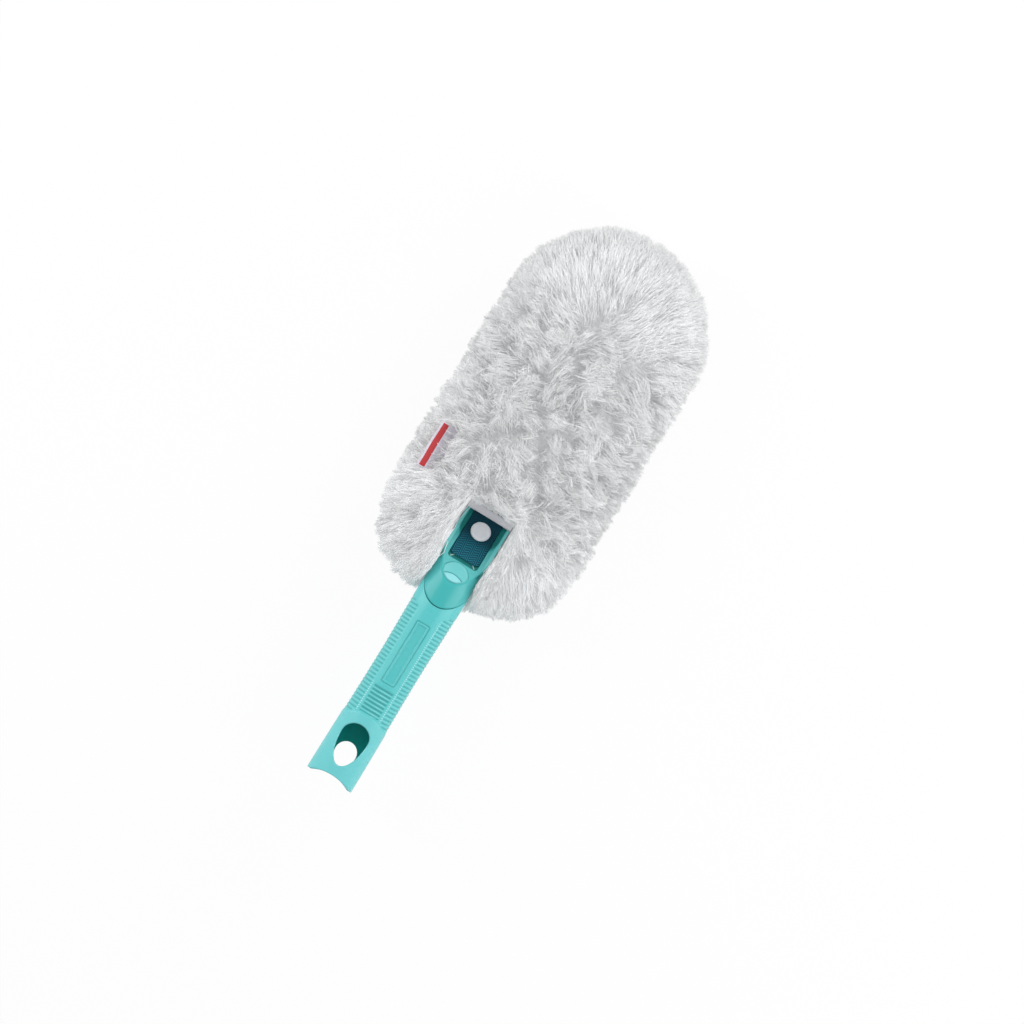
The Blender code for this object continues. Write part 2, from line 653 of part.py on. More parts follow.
def blade_outline(grow, start):
    side = [(TANG_HALF_WIDTH + grow, start)] + blade_side(grow)
    end = arc((0, BLADE_END_Y - BLADE_HALF_WIDTH), BLADE_HALF_WIDTH + grow, 0, math.pi, 24)
    return side + end + [(-x, y) for x, y in reversed(side)]


def make_blade(duster):
    half = BLADE_THICKNESS / 2
    blade = prism("paddle_blade", [blade_outline(0, TANG_START_Y)], BLADE_Z - half, BLADE_Z + half, duster)
    edge = blade_outline(-BEAD_INSET, SHOULDER_START_Y)[1:-1]
    route = [(x, y, BLADE_Z) for x, y in edge]
    apply_tool(blade, rod("edge_bead_joiner", [route], BEAD_RADIUS, 1, duster), "UNION")
    spine = block("spine_joiner", (-SPINE_HALF_WIDTH, SPINE_START_Y, BLADE_Z - BEAD_RADIUS),
                  (SPINE_HALF_WIDTH, SPINE_END_Y, BLADE_Z + BEAD_RADIUS), duster)
    apply_tool(blade, spine, "UNION")
    return blade


def stadium(half_width, low, high, steps=24):
    near = arc((0, low + half_width), half_width, math.pi, math.tau, steps)
    return near + arc((0, high - half_width), half_width, 0, math.pi, steps)


def sleeve_outline(grow):
    half_width = BLADE_HALF_WIDTH + SLEEVE_GROWTH + grow
    return stadium(half_width, HEAD_START_Y + SLEEVE_INSET - grow, BLADE_END_Y + SLEEVE_GROWTH + grow)


def make_sleeve(duster):
    half = SLEEVE_HALF_THICKNESS
    sleeve = prism("cover_sleeve", [sleeve_outline(0)], BLADE_Z - half, BLADE_Z + half, duster)
    hollow = BEAD_RADIUS + GAP
    inside = blade_outline(hollow, TANG_START_Y)
    apply_tool(sleeve, prism("sleeve_hollow_cutter", [inside], BLADE_Z - hollow, BLADE_Z + hollow, duster))
    apply_tool(sleeve, block("sleeve_notch_cutter", (-NOTCH_HALF_WIDTH, 0, BLADE_Z - HEAD_HALF_DEPTH),
                             (NOTCH_HALF_WIDTH, NECK_END_Y + GAP, 0), duster))
    return sleeve


def make_hem(duster):
    """A flat tape with rounded long edges, across the mouth."""
    low = SLEEVE_TOP_Z + GAP + STRAP_THICKNESS + GAP
    half = HEM_THICKNESS / 2
    near = arc((HEM_START_Y + half, low + half), half, math.pi / 2, 3 * math.pi / 2, 6)
    far = arc((HEM_START_Y + HEM_WIDTH - half, low + half), half, -math.pi / 2, math.pi / 2, 6)
    return prism("hem_band", [near + far], -HEM_HALF_LENGTH, HEM_HALF_LENGTH, duster, ALONG_AND_UP)


# Tufted pile

CORE_HALF_WIDTH = HEAD_HALF_WIDTH - TUFT_LENGTH
CORE_HALF_DEPTH = HEAD_HALF_DEPTH - TUFT_LENGTH
NEAR_CENTRE_Y = HEAD_START_Y + HEAD_HALF_WIDTH
FAR_CENTRE_Y = HEAD_END_Y - HEAD_HALF_WIDTH
ROWS = STRAIGHT_ROWS + 2 * CAP_ROWS
NOTCH_END_Y = HEM_START_Y + HEM_WIDTH + GAP


def dome_point(row, column, half_width, half_depth, side):
    """A grid point on half of a flattened capsule: a square grid drawn onto its two round ends."""
    u = 2 * column / COLUMNS - 1
    v = 0.0
    centre_y = NEAR_CENTRE_Y + (FAR_CENTRE_Y - NEAR_CENTRE_Y) * (row - CAP_ROWS) / STRAIGHT_ROWS
    if row < CAP_ROWS:
        v = row / CAP_ROWS - 1
        centre_y = NEAR_CENTRE_Y
    elif row > CAP_ROWS + STRAIGHT_ROWS:
        v = (row - CAP_ROWS - STRAIGHT_ROWS) / CAP_ROWS
        centre_y = FAR_CENTRE_Y
    out = max(abs(u), abs(v))
    heading = math.pi / 4 * v / u if abs(u) >= abs(v) and u else math.pi / 2 - math.pi / 4 * u / (v or 1)
    heading += math.pi if (u if abs(u) >= abs(v) else v) < 0 else 0.0
    angle = out * math.pi / 2
    reach = math.sin(angle) * half_width
    z = BLADE_Z + side * (GAP / 2 + (half_depth - GAP / 2) * math.cos(angle))
    return Vector((math.cos(heading) * reach, centre_y + math.sin(heading) * reach, z))


def in_notch(root):
    """Whether a tuft's root is mostly in the neck's notch, or too near its leaning end."""
    middle = sum(root, Vector()) / len(root)
    end = NOTCH_END_Y + (middle.z - BLADE_Z) * math.tan(NOTCH_LEAN)
    return abs(middle.x) < NOTCH_HALF_WIDTH + NOTCH_MARGIN and middle.y < end + NOTCH_MARGIN


def label_tip():
    height = HEAD_HALF_DEPTH * math.sqrt(1 - LABEL_TIP_SHARE ** 2)
    return Vector((-HEAD_HALF_WIDTH * LABEL_TIP_SHARE, 0, BLADE_Z + height))


def in_label(points):
    """Whether the side label's plane passes through a tuft, within the label's length."""
    normal = Vector((math.sin(LABEL_TILT), 0, math.cos(LABEL_TILT)))
    heights = [(point - label_tip()).dot(normal) for point in points]
    clear = LABEL_THICKNESS / 2 + LABEL_MARGIN
    along = [point.y for point in points]
    meets_length = min(along) < LABEL_LOW_Y + LABEL_LENGTH + clear and max(along) > LABEL_LOW_Y - clear
    return min(heights) < clear and max(heights) > -clear and meets_length and points[0].x < 0


def stray(row, column, chance):
    """A grid point moved a little from its place, but never off the rim."""
    moves = [chance.uniform(-1, 1) * GRID_STRAY_SHARE for _ in range(2)]
    return (row + (moves[0] if 0 < row < ROWS else 0.0),
            column + (moves[1] if 0 < column < COLUMNS else 0.0))


def grow_tuft(bm, face, root, crown, chance, drop):
    """Draw one cell out to a leaning, tapering tuft with a blunt tip."""
    root_centre = sum(root, Vector()) / len(root)
    crown_centre = sum(crown, Vector()) / len(crown)
    lean = crown_centre - root_centre
    sideways = Vector((chance.uniform(-1, 1), chance.uniform(-1, 1), chance.uniform(-1, 1)))
    sideways -= lean * sideways.dot(lean) / lean.length_squared
    room = min(distance_to_line(crown_centre, crown[k - 1], crown[k]) for k in range(len(crown)))
    sway = sideways.normalized() * room * TIP_SWAY_SHARE * chance.uniform(0.2, 1)
    sink = lean.normalized() * TIP_DROP * drop
    steps = ((WAIST_HEIGHT_SHARE, TUFT_WAIST_SHARE, WAIST_SWAY_SHARE), (1.0, TUFT_TIP_SHARE, 1.0))
    for height, width, bend in steps:
        placed = list(face.verts)
        before = [corner.co.copy() for corner in placed]
        face = bmesh.ops.extrude_discrete_faces(bm, faces=[face])["faces"][0]
        for corner in face.verts:
            k = min(range(len(before)), key=lambda n: (before[n] - corner.co).length)
            k = root_order(before[k], root, crown)
            spot = root[k].lerp(crown[k], height)
            middle = root_centre.lerp(crown_centre, height)
            corner.co = middle + (spot - middle) * width + (sway - sink) * bend
    return face


def root_order(place, root, crown):
    """Which corner of its cell a tuft's corner belongs to."""
    return min(range(len(root)), key=lambda k: distance_to_line(place, root[k], crown[k]))


def distance_to_line(place, low, high):
    """Distance of a place from the line between two points."""
    line = high - low
    share = max(0.0, min(1.0, (place - low).dot(line) / line.length_squared))
    return (place - low - line * share).length


def pile_half(name, side, duster, chance):
    """Half of the cover's pile: the dense root mass as a dome, and its tufts drawn out of it."""
    bm = bmesh.new()
    grid = [[stray(r, c, chance) for c in range(COLUMNS + 1)] for r in range(ROWS + 1)]
    core = [[dome_point(*spot, CORE_HALF_WIDTH, CORE_HALF_DEPTH, side) for spot in row] for row in grid]
    crown = [[dome_point(*spot, HEAD_HALF_WIDTH, HEAD_HALF_DEPTH, side) for spot in row] for row in grid]
    verts = [[bm.verts.new(point) for point in row] for row in core]
    rim = verts[0][:] + [row[-1] for row in verts[1:-1]] + verts[-1][::-1] + [row[0] for row in verts[-2:0:-1]]
    bm.faces.new(rim[::-1] if side > 0 else rim)
    middle = (COLUMNS // 2 - 1, COLUMNS // 2)
    for r in range(ROWS):
        for c in range(COLUMNS):
            ring = [(r, c), (r, c + 1), (r + 1, c + 1), (r + 1, c)]
            if side < 0:
                ring.reverse()
            face = bm.faces.new([verts[i][j] for i, j in ring])
            root = [core[i][j] for i, j in ring]
            tip = [crown[i][j] for i, j in ring]
            drop = chance.random()
            lies_flat = side < 0 and c in middle and CAP_ROWS <= r < CAP_ROWS + STRAIGHT_ROWS
            if side > 0 and (in_notch(root) or in_label(root + tip)):
                continue
            if side < 0 and under_neck(root + tip):
                continue
            grow_tuft(bm, face, root, tip, chance, 0.0 if lies_flat else drop)
    return add_object(name, mesh_from(bm, name, 25), duster)


def under_neck(points):
    """Whether a tuft of the back would touch the neck that lies over it."""
    lowest = -NECK_END_HALF_HEIGHT - NOTCH_MARGIN
    near = [p for p in points if p.z > lowest and p.y < NECK_END_Y + NOTCH_MARGIN]
    return any(abs(p.x) < NOTCH_HALF_WIDTH + NOTCH_MARGIN for p in near)


def make_pile(duster):
    chance = random.Random(11)
    front = pile_half("pile_front", 1, duster, chance)
    back = pile_half("pile_back", -1, duster, chance)
    hollow = SLEEVE_HALF_THICKNESS + GAP
    bed = prism("sleeve_bed_cutter", [sleeve_outline(GAP)], BLADE_Z - hollow, BLADE_Z + hollow, duster)
    top = BLADE_Z + HEAD_HALF_DEPTH + OVERRUN
    back_y = NOTCH_END_Y + (top - BLADE_Z) * math.tan(NOTCH_LEAN)
    side = [(HEAD_START_Y - TUFT_LENGTH, BLADE_Z - OVERRUN), (NOTCH_END_Y, BLADE_Z - OVERRUN),
            (NOTCH_END_Y, BLADE_Z), (back_y, top), (HEAD_START_Y - TUFT_LENGTH, top)]
    notch = prism("neck_notch_cutter", [side], -NOTCH_HALF_WIDTH, NOTCH_HALF_WIDTH, duster, ALONG_AND_UP)
    tail_x = STRAP_WIDTH / 2 + GAP
    tail = block("tail_bed_cutter", (-tail_x, NOTCH_END_Y - OVERRUN, SLEEVE_TOP_Z - OVERRUN),
                 (tail_x, STRAP_TAIL_END_Y + GAP, SLEEVE_TOP_Z + STRAP_THICKNESS + 2 * GAP), duster)
    for tool in (bed, notch, tail, label_solid("label_slit_cutter", duster, GAP)):
        apply_tool(front, tool)
    under = -NECK_END_HALF_HEIGHT - GAP
    groove = block("neck_groove_cutter", (-NOTCH_HALF_WIDTH, HEAD_START_Y - TUFT_LENGTH, under),
                   (NOTCH_HALF_WIDTH, NECK_END_Y + GAP, 0), duster)
    lowest = min(vertex.co.z for vertex in back.data.vertices)
    reach = HEAD_HALF_WIDTH + OVERRUN
    floor = block("rest_cutter", (-reach, HEAD_START_Y - OVERRUN, lowest - OVERRUN),
                  (reach, HEAD_END_Y + OVERRUN, lowest + REST_CUT), duster)
    for tool in (bed, groove, floor):
        apply_tool(back, tool)
    return front, back, lowest + REST_CUT


# Side label

def label_solid(name, duster, grow):
    """A flat strip with a folded, rounded outer edge, tilted out of the pile."""
    half = LABEL_THICKNESS / 2 + grow
    strip = arc((-half + grow, 0), half, math.pi / 2, -math.pi / 2, 6)
    strip += [(-LABEL_REACH - grow, -half), (-LABEL_REACH - grow, half)]
    tip = label_tip()
    turn = Matrix.Rotation(LABEL_TILT, 4, "Y")
    place = Matrix.Translation((tip.x, 0, tip.z)) @ turn @ Matrix.Diagonal((-1, 1, 1, 1)) @ ACROSS_AND_UP
    low, high = -(LABEL_LOW_Y + LABEL_LENGTH + grow), -(LABEL_LOW_Y - grow)
    return prism(name, [strip], low, high, duster, place)


# Assembly

def build():
    duster = add_frame("duster_frame")
    scoop = add_frame("scoop_frame", duster, (0, SCOOP_TIP_Y, NECK_RADIUS), -SCOOP_ANGLE)
    hinge = add_frame("strap_hinge", scoop, (0, HINGE_ALONG, STRAP_MIDDLE))
    make_grip(duster)
    make_neck(duster, scoop)
    make_button(scoop)
    make_strap(scoop, hinge)
    make_snap(scoop, hinge)
    make_strap_tail(duster)
    make_blade(duster)
    make_sleeve(duster)
    make_hem(duster)
    front, back, lowest = make_pile(duster)
    label_solid("side_label", duster, 0)
    far = max(vertex.co.y for piece in (front, back) for vertex in piece.data.vertices)
    duster.location = (0, -far / 2, -lowest)


build()
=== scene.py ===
"""Hand duster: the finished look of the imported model.

All sizes are in metres. A handle place counts from the grip's open end towards the head, and a
height counts from the handle's axis. Slope places count down the scoop from its tip.
"""

import math

import bpy
import numpy as np
from mathutils import Matrix, Vector


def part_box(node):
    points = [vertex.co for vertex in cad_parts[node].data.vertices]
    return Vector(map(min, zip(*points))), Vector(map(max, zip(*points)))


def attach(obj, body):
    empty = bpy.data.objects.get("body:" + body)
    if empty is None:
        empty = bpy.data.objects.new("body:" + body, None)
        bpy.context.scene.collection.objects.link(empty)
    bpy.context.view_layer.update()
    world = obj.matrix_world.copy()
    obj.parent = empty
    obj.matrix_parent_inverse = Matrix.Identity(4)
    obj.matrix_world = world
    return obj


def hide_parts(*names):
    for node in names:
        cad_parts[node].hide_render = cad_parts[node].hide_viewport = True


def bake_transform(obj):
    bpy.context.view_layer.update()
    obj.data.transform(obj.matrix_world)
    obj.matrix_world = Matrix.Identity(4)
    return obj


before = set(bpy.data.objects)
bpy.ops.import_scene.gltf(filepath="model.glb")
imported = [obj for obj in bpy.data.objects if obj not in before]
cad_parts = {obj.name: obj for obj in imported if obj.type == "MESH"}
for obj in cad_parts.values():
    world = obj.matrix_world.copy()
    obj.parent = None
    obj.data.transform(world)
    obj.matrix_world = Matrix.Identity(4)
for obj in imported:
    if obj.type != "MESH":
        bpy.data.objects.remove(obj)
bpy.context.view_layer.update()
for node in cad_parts.values():
    node.select_set(False)

# Grip
GRIP_END_RADIUS = 0.01765
GRIP_WAIST_RADIUS = 0.01675
GRIP_WAIST_Y = 0.095
GRIP_WALL = 0.00215
GRIP_BORE_RADIUS = GRIP_WAIST_RADIUS - GRIP_WALL
GRIP_EDGE = 0.0006
MOUTH_CURVE_RADIUS = 0.0315
MOUTH_DEPTH = 0.0053
HOLE_HALF_WIDTH = 0.01035
HOLE_WIDEST_Y = 0.0357
HOLE_ROUND_HEIGHT = 0.0099
HOLE_LONG_HEIGHT = 0.0225
REAR_HOLE_RADIUS = 0.008
REAR_HOLE_Y = 0.0205
REAR_HOLE_DROP = 0.0118
HOLE_CHAMFER = 0.0004
RIB_PITCH = 0.00295
RIB_DEPTH = 0.0005
RIB_INNER_EDGE = 0.0100
RIBS_LOW_INNER_Y = 0.0521
RIBS_LOW_OUTER_Y = 0.0479
RIBS_HIGH_INNER_Y = 0.1365
RIBS_HIGH_OUTER_Y = 0.1421
BEAD_X = 0.0093
BEAD_HALF_WIDTH = 0.0007
BEAD_HEIGHT = 0.00035
BEAD_PITCH = 0.0016
CROSS_HALF_WIDTH = 0.0076
CROSS_LOW_Y = 0.0540
CROSS_HIGH_Y = 0.0756
CROSS_DEPTH = 0.0006
CROSS_BARS = 7.5
PANEL_LOW_Y = 0.0791
PANEL_HIGH_Y = 0.1281
PANEL_HALF_WIDTH = 0.0051
PANEL_CORNER = 0.0012
PANEL_DEPTH = 0.0005
PANEL_GROOVE = 0.0004
END_BAND_RISE = 0.0003
SOFT_EDGE = 0.0003
MERGE = 0.0000005

# Neck and scoop
NECK_RADIUS = 0.01735
NECK_END_Y = 0.2136
NECK_SQUARE_FROM_Y = 0.172
NECK_END_HALF_HEIGHT = 0.018
NECK_END_SQUARENESS = 4.0
SEAM_Y = 0.1425
SEAM_HALF_WIDTH = 0.018
SEAM_RISE = 0.021
SEAM_STEP = 0.0006
SPIGOT_LENGTH = 0.0425
SPIGOT_WALL = 0.0025
BORE_DEPTH_Y = 0.150
GAP = 0.0003
SCOOP_TIP_Y = 0.1617
SCOOP_ANGLE = math.radians(27)
SCOOP_EDGE_ROUNDING = 0.00035
POCKET_START = 0.0181
POCKET_DEPTH = 0.0022
POCKET_HALF_WIDTH = 0.01175
POCKET_CORNER = 0.002
POCKET_WALL = 0.0006
CHANNEL_START = 0.0369
CHANNEL_HALF_WIDTH = 0.0156
CHANNEL_DEPTH = 0.0016
CHANNEL_WALL = 0.0024
DISH_DEPTH = 0.0004
SNAP_ALONG = 0.0461
STUD_WELL_RADIUS = 0.00715
STUD_WELL_DEPTH = 0.0059
GLINT_X = 0.0086
GLINT_ALONG = 0.0197
TANG_HALF_WIDTH = 0.0118
TANG_HALF_HEIGHT = 0.0015
TANG_START_Y = 0.1907

# Thumb pad
PAD_TOP_RADIUS = 0.0100
PAD_TOP_CENTRE = 0.0069
PAD_LOW_RADIUS = 0.0095
PAD_LOW_CENTRE = 0.0106
PAD_STANDS = 0.0003
PAD_THICKNESS = 0.0033
PAD_WELL_DEPTH = 0.008
PAD_LOW_GAP = 0.00007
LIP_RADIUS = 0.0122
LIP_CENTRE = -0.0051
LIP_HEIGHT = 0.0007

# Strap, press stud and hem
STRAP_WIDTH = 0.0229
STRAP_THICKNESS = 0.0014
STRAP_CORNER = 0.0025
STRAP_END = 0.0220
STRAP_BEND = 0.0012
STRAP_UNDER = GAP - POCKET_DEPTH
TAIL_END_Y = 0.230
TWILL_PITCH = 0.0017
TWILL_COLUMN = 0.0033
TWILL_DEPTH = 0.0002
CAP_RADIUS = 0.00735
CAP_HEIGHT = 0.0021
# The cap from its middle over its rim, as shares of its radius and height
CAP_PROFILE = ((0.42, 0.93), (0.60, 0.935), (0.68, 0.96), (0.74, 1.0), (0.82, 0.99), (0.90, 0.92),
               (0.96, 0.78), (0.99, 0.58), (1.0, 0.38), (0.985, 0.14), (0.95, 0.0), (0.4, 0.0))
HEM_START_Y = 0.2140
HEM_WIDTH = 0.0054
HEM_THICKNESS = 0.0013
HEM_HALF_LENGTH = 0.0178
HEM_RIB_PITCH = 0.00145

# Head
BLADE_Z = -0.0146
HEAD_HALF_WIDTH = 0.0756
HEAD_HALF_DEPTH = 0.0400
HEAD_START_Y = 0.1515
HEAD_END_Y = 0.4417
NEAR_SQUARENESS = 3
LEFT_LOBE = 0.09
LONGEST_TIPS = 0.0017
SLEEVE_HALF_WIDTH = 0.0365
SLEEVE_HALF_THICKNESS = 0.0030
SLEEVE_START_Y = 0.1825
SLEEVE_END_Y = 0.4055
NOTCH_HALF_WIDTH = 0.0182
NOTCH_END_Y = 0.2197
NOTCH_LEAN = math.radians(3)
NECK_UNDERSIDE = -0.0183
NECK_ROOM_RADIUS = 0.01785

# Side label
LABEL_TIP_X = 0.0632
LABEL_LOW_Y = 0.2199
LABEL_LENGTH = 0.036
LABEL_REACH = 0.0215
LABEL_THICKNESS = 0.0010
LABEL_TILT = math.radians(32)
LABEL_SHOWN = 0.0074

# Pile
TUFT_COUNT = 520
CLUMP_COUNT = 6900
STRANDS_PER_CLUMP = 12
FRINGE_CLUMPS = 560
FRINGE_PER_CLUMP = 9
SIDE_CLUMPS = 900
SIDE_PER_CLUMP = 9
STRANDS_PER_PIECE = 12000
STRAND_RADIUS = 0.00019
STRAND_SHOWN_FROM = 0.46
UNDERCOAT = 0.22
TUFT_LIE = 0.0145
CHANCE = np.random.default_rng(5)

# Photograph: its frame is square, and its middle and turn are measured against the handle
PHOTO_WIDTH = 0.7168
PHOTO_MIDDLE = (0.0114, 0.0066)
PHOTO_TURN = math.radians(31.5)
LENS = 100
SENSOR = 36

# Light: each softbox's name, place, target, size and watts
SKY_STRENGTH = 0.60
FLOOR_GLOW = 0.92
SOFTBOXES = (("left_softbox", (-1.3, 0.0, 0.52), (0, 0, 0.05), (0.15, 1.8), 9.5),
             ("right_softbox", (1.3, 0.0, 0.52), (0, 0, 0.05), (0.13, 1.8), 7.5),
             ("far_softbox", (0.30, 1.15, 0.70), (0, 0.16, 0.05), (0.9, 0.6), 7))

grip_low, grip_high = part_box("grip")
HANDLE = Vector((0, grip_low[1], (grip_low[2] + grip_high[2]) / 2))


# Places

ONTO_HANDLE = Matrix.Translation(HANDLE)
ONTO_SCOOP = Matrix.Translation((0, SCOOP_TIP_Y, NECK_RADIUS)) @ Matrix.Rotation(-SCOOP_ANGLE, 4, "X")


def scoop_level(y):
    return NECK_RADIUS - (y - SCOOP_TIP_Y) * math.tan(SCOOP_ANGLE)


def slope_place(y):
    return (y - SCOOP_TIP_Y) / math.cos(SCOOP_ANGLE)


# Shader sums

class Socket:
    """A socket of a finish, which Python sums turn into Math nodes."""

    def __init__(self, finish, socket):
        self.finish = finish
        self.socket = socket

    def maths(self, operation, *values):
        return self.finish.node("ShaderNodeMath", {"operation": operation}, values)

    def __add__(self, other):
        return self.maths("ADD", self, other)

    def __sub__(self, other):
        return self.maths("SUBTRACT", self, other)

    def __rsub__(self, other):
        return self.maths("SUBTRACT", other, self)

    def __mul__(self, other):
        return self.maths("MULTIPLY", self, other)

    __radd__ = __add__

    def sine(self):
        return self.maths("SINE", self)

    def clamped(self, low, high):
        """0 below low, 1 above high, and smooth between."""
        values = {"Value": self, "From Min": low, "From Max": high}
        return self.finish.node("ShaderNodeMapRange", {"interpolation_type": "SMOOTHSTEP"}, values)


class Finish:
    """A material with one Principled shader, and the nodes that vary it over a surface."""

    def __init__(self, name, colour, roughness, **constants):
        self.material = bpy.data.materials.new(name)
        self.material.use_nodes = True
        self.tree = self.material.node_tree
        self.shader = self.tree.nodes["Principled BSDF"]
        self.set(**{"Base Color": (*colour, 1), "Roughness": roughness})
        self.set(**constants)

    def set(self, **values):
        for socket, value in values.items():
            self.feed(self.shader.inputs[socket.replace("_", " ")], value)

    def feed(self, socket, value):
        if isinstance(value, Socket):
            self.tree.links.new(value.socket, socket)
        else:
            socket.default_value = value

    def node(self, kind, settings, values, output=0):
        node = self.tree.nodes.new(kind)
        for name, value in settings.items():
            setattr(node, name, value)
        pairs = values.items() if isinstance(values, dict) else enumerate(values)
        for place, value in pairs:
            self.feed(node.inputs[place], value)
        return Socket(self, node.outputs[output])

    def place(self, axis=None):
        spot = self.node("ShaderNodeTexCoord", {}, {}, "Object")
        if axis is None:
            return spot
        return self.node("ShaderNodeSeparateXYZ", {}, {"Vector": spot}, axis)

    def stretched(self, scale):
        return self.node("ShaderNodeMapping", {}, {"Vector": self.place(), "Scale": scale})

    def noise(self, scale, detail=2.0, vector=None):
        values = {"Scale": scale, "Detail": detail, "Vector": vector or self.place()}
        return self.node("ShaderNodeTexNoise", {}, values, "Fac")

    def attribute(self, name):
        return self.node("ShaderNodeAttribute", {"attribute_name": name}, {}, "Fac")

    def blend(self, share, low, high):
        """A colour between two, each given as three numbers or a socket."""
        ends = [end if isinstance(end, Socket) else (*end, 1) for end in (low, high)]
        values = {0: share, 6: ends[0], 7: ends[1]}
        return self.node("ShaderNodeMix", {"data_type": "RGBA"}, values, 2)

    def bump(self, height, strength, distance):
        """Raise the surface, which closes a finish."""
        values = {"Height": height, "Strength": strength, "Distance": distance}
        self.set(Normal=self.node("ShaderNodeBump", {}, values))
        return self.material

    def grain(self, scale, strength):
        return self.bump(self.noise(scale, 2), strength, 0.0001)


# Finishes

NECK_TURQUOISE = (0.055, 0.490, 0.485)
GRIP_TURQUOISE = (0.110, 0.600, 0.610)
PAD_TURQUOISE = (0.125, 0.560, 0.565)
# Painted light and shade on the plastics: highlights on ridges, glints, shade in the bore, in the strap's
# recesses and in the seam, and a highlight along the scoop's rim
RIDGE_HIGHLIGHT = (0.38, 0.81, 0.87)
GLINT = (0.86, 0.97, 0.97)
BORE_SHADE = (0.001, 0.42, 0.39)
RECESS_SHADE = (0.001, 0.20, 0.185)
LIT_RIM = (0.30, 0.92, 0.90)
SEAM_SHADE = (0.002, 0.035, 0.035)
SNAP_WHITE = (0.88, 0.915, 0.965)
TAPE_WHITE = (0.97, 0.97, 0.99)
# Pairs of colours that a finish wavers between
WEBBING_GAP = ((0.001, 0.024, 0.040), (0.002, 0.044, 0.068))
# The webbing's crests from painted shade near the hem to the lighter free end
WEBBING_CREST = ((0.005, 0.080, 0.120), (0.024, 0.23, 0.32))
SNAP_HAZE = ((0.87, 0.905, 0.96), (0.93, 0.955, 0.985))
RIBBON_PALE = ((0.70, 0.66, 0.76), (0.84, 0.81, 0.88))
RIBBON_RED = ((0.52, 0.030, 0.040), (0.70, 0.060, 0.065))
# Painted shade: the greys of the pile's root
BASE_SHADE_GREYS = ((0.74, 0.75, 0.76), (0.86, 0.865, 0.87))
# The pile's painted shade from its depths to its tips, and its painted glow
PILE_LOW = (0.70, 0.705, 0.71)
PILE_MIDDLE = (0.83, 0.835, 0.84)
PILE_TIPS = (0.925, 0.935, 0.945)
PILE_GLOW = 0.14
BASE_GLOW = 0.08


def mixed(first, second, share):
    return [a + (b - a) * share for a, b in zip(first, second)]


def flow_marks(finish, colour):
    """The faint streaks that a moulding keeps along its length."""
    flow = finish.noise(38, 3, finish.stretched((1, 0.25, 1)))
    darker, lighter = mixed(colour, (0, 0, 0), 0.04), mixed(colour, (1, 1, 1), 0.02)
    return finish.blend(flow.clamped(0.3, 0.7), darker, lighter)


def moulded_plastic(name, colour, roughness):
    """Moulded plastic with faint flow marks, painted shade in its hollows and inside its bore, and painted
    highlights and glints on its ridges.
    """
    finish = Finish(name, colour, roughness, IOR=1.42)
    body = flow_marks(finish, colour)
    relief = finish.attribute("relief")
    # Painted shade in the hollows, painted highlight on the ridges and painted glints above them
    hollow = finish.blend(relief.clamped(0.0, 0.5), mixed(colour, (0, 0.14, 0.13), 0.45), body)
    ridge = finish.blend(relief.clamped(0.5, 1.0), hollow, mixed(colour, RIDGE_HIGHLIGHT, 0.5))
    skin = finish.blend(relief.clamped(1.0, 1.5), ridge, GLINT)
    # Painted shade inside the grip's bore and down the pad's sunk walls
    inside = finish.attribute("inside")
    finish.set(Base_Color=finish.blend(inside, skin, BORE_SHADE))
    finish.set(Roughness=roughness - 0.04 + finish.noise(90, 4) * 0.08 + inside * 0.4)
    return finish.grain(2600, 0.10)


def neck_plastic():
    """Moulded plastic with painted shade in the strap's pocket and channel and along the seam, painted
    highlights along the scoop's edges and painted glints at the pocket's corners.
    """
    finish = Finish("neck_plastic", NECK_TURQUOISE, 0.30, IOR=1.42)
    body = flow_marks(finish, NECK_TURQUOISE)
    tip = ONTO_HANDLE @ ONTO_SCOOP.translation
    sine, cosine = math.sin(SCOOP_ANGLE), math.cos(SCOOP_ANGLE)
    depth = finish.place("Y") * sine + finish.place("Z") * cosine
    depth = depth - (tip.y * sine + tip.z * cosine)
    across = finish.place("X").maths("ABSOLUTE", finish.place("X"))
    # Painted shade in the strap's pocket and channel
    recess_shade = (1 - depth.clamped(-0.0014, -0.0002)) * depth.clamped(-0.0068, -0.0060)
    recess_shade = recess_shade * (1 - across.clamped(0.0154, 0.0160))
    recess_shade = recess_shade * finish.place("Y").clamped(tip.y + 0.010, tip.y + 0.014)
    # Painted highlight along the scoop's edges beside the channel
    rim = across.clamped(0.0146, 0.0154) * depth.clamped(-0.0020, -0.0006)
    rim = rim * finish.place("Y").clamped(tip.y + 0.012, tip.y + 0.030)
    lit = finish.blend(rim * 0.5, body, LIT_RIM)
    shaded = finish.blend(recess_shade, lit, RECESS_SHADE)
    # Painted glints at the pocket's corners and painted shade along the seam
    glinting = finish.blend(finish.attribute("glint"), shaded, GLINT)
    finish.set(Base_Color=finish.blend(finish.attribute("seam"), glinting, SEAM_SHADE))
    finish.set(Roughness=0.27 + finish.noise(90, 4) * 0.08 + recess_shade * 0.3)
    return finish.grain(2600, 0.12)


def snap_plastic():
    finish = Finish("snap_plastic", SNAP_WHITE, 0.36, IOR=1.49)
    haze = finish.noise(260, 3)
    finish.set(Base_Color=finish.blend(haze.clamped(0.35, 0.7), *SNAP_HAZE))
    finish.set(Roughness=0.32 + haze * 0.1)
    return finish.grain(3000, 0.1)


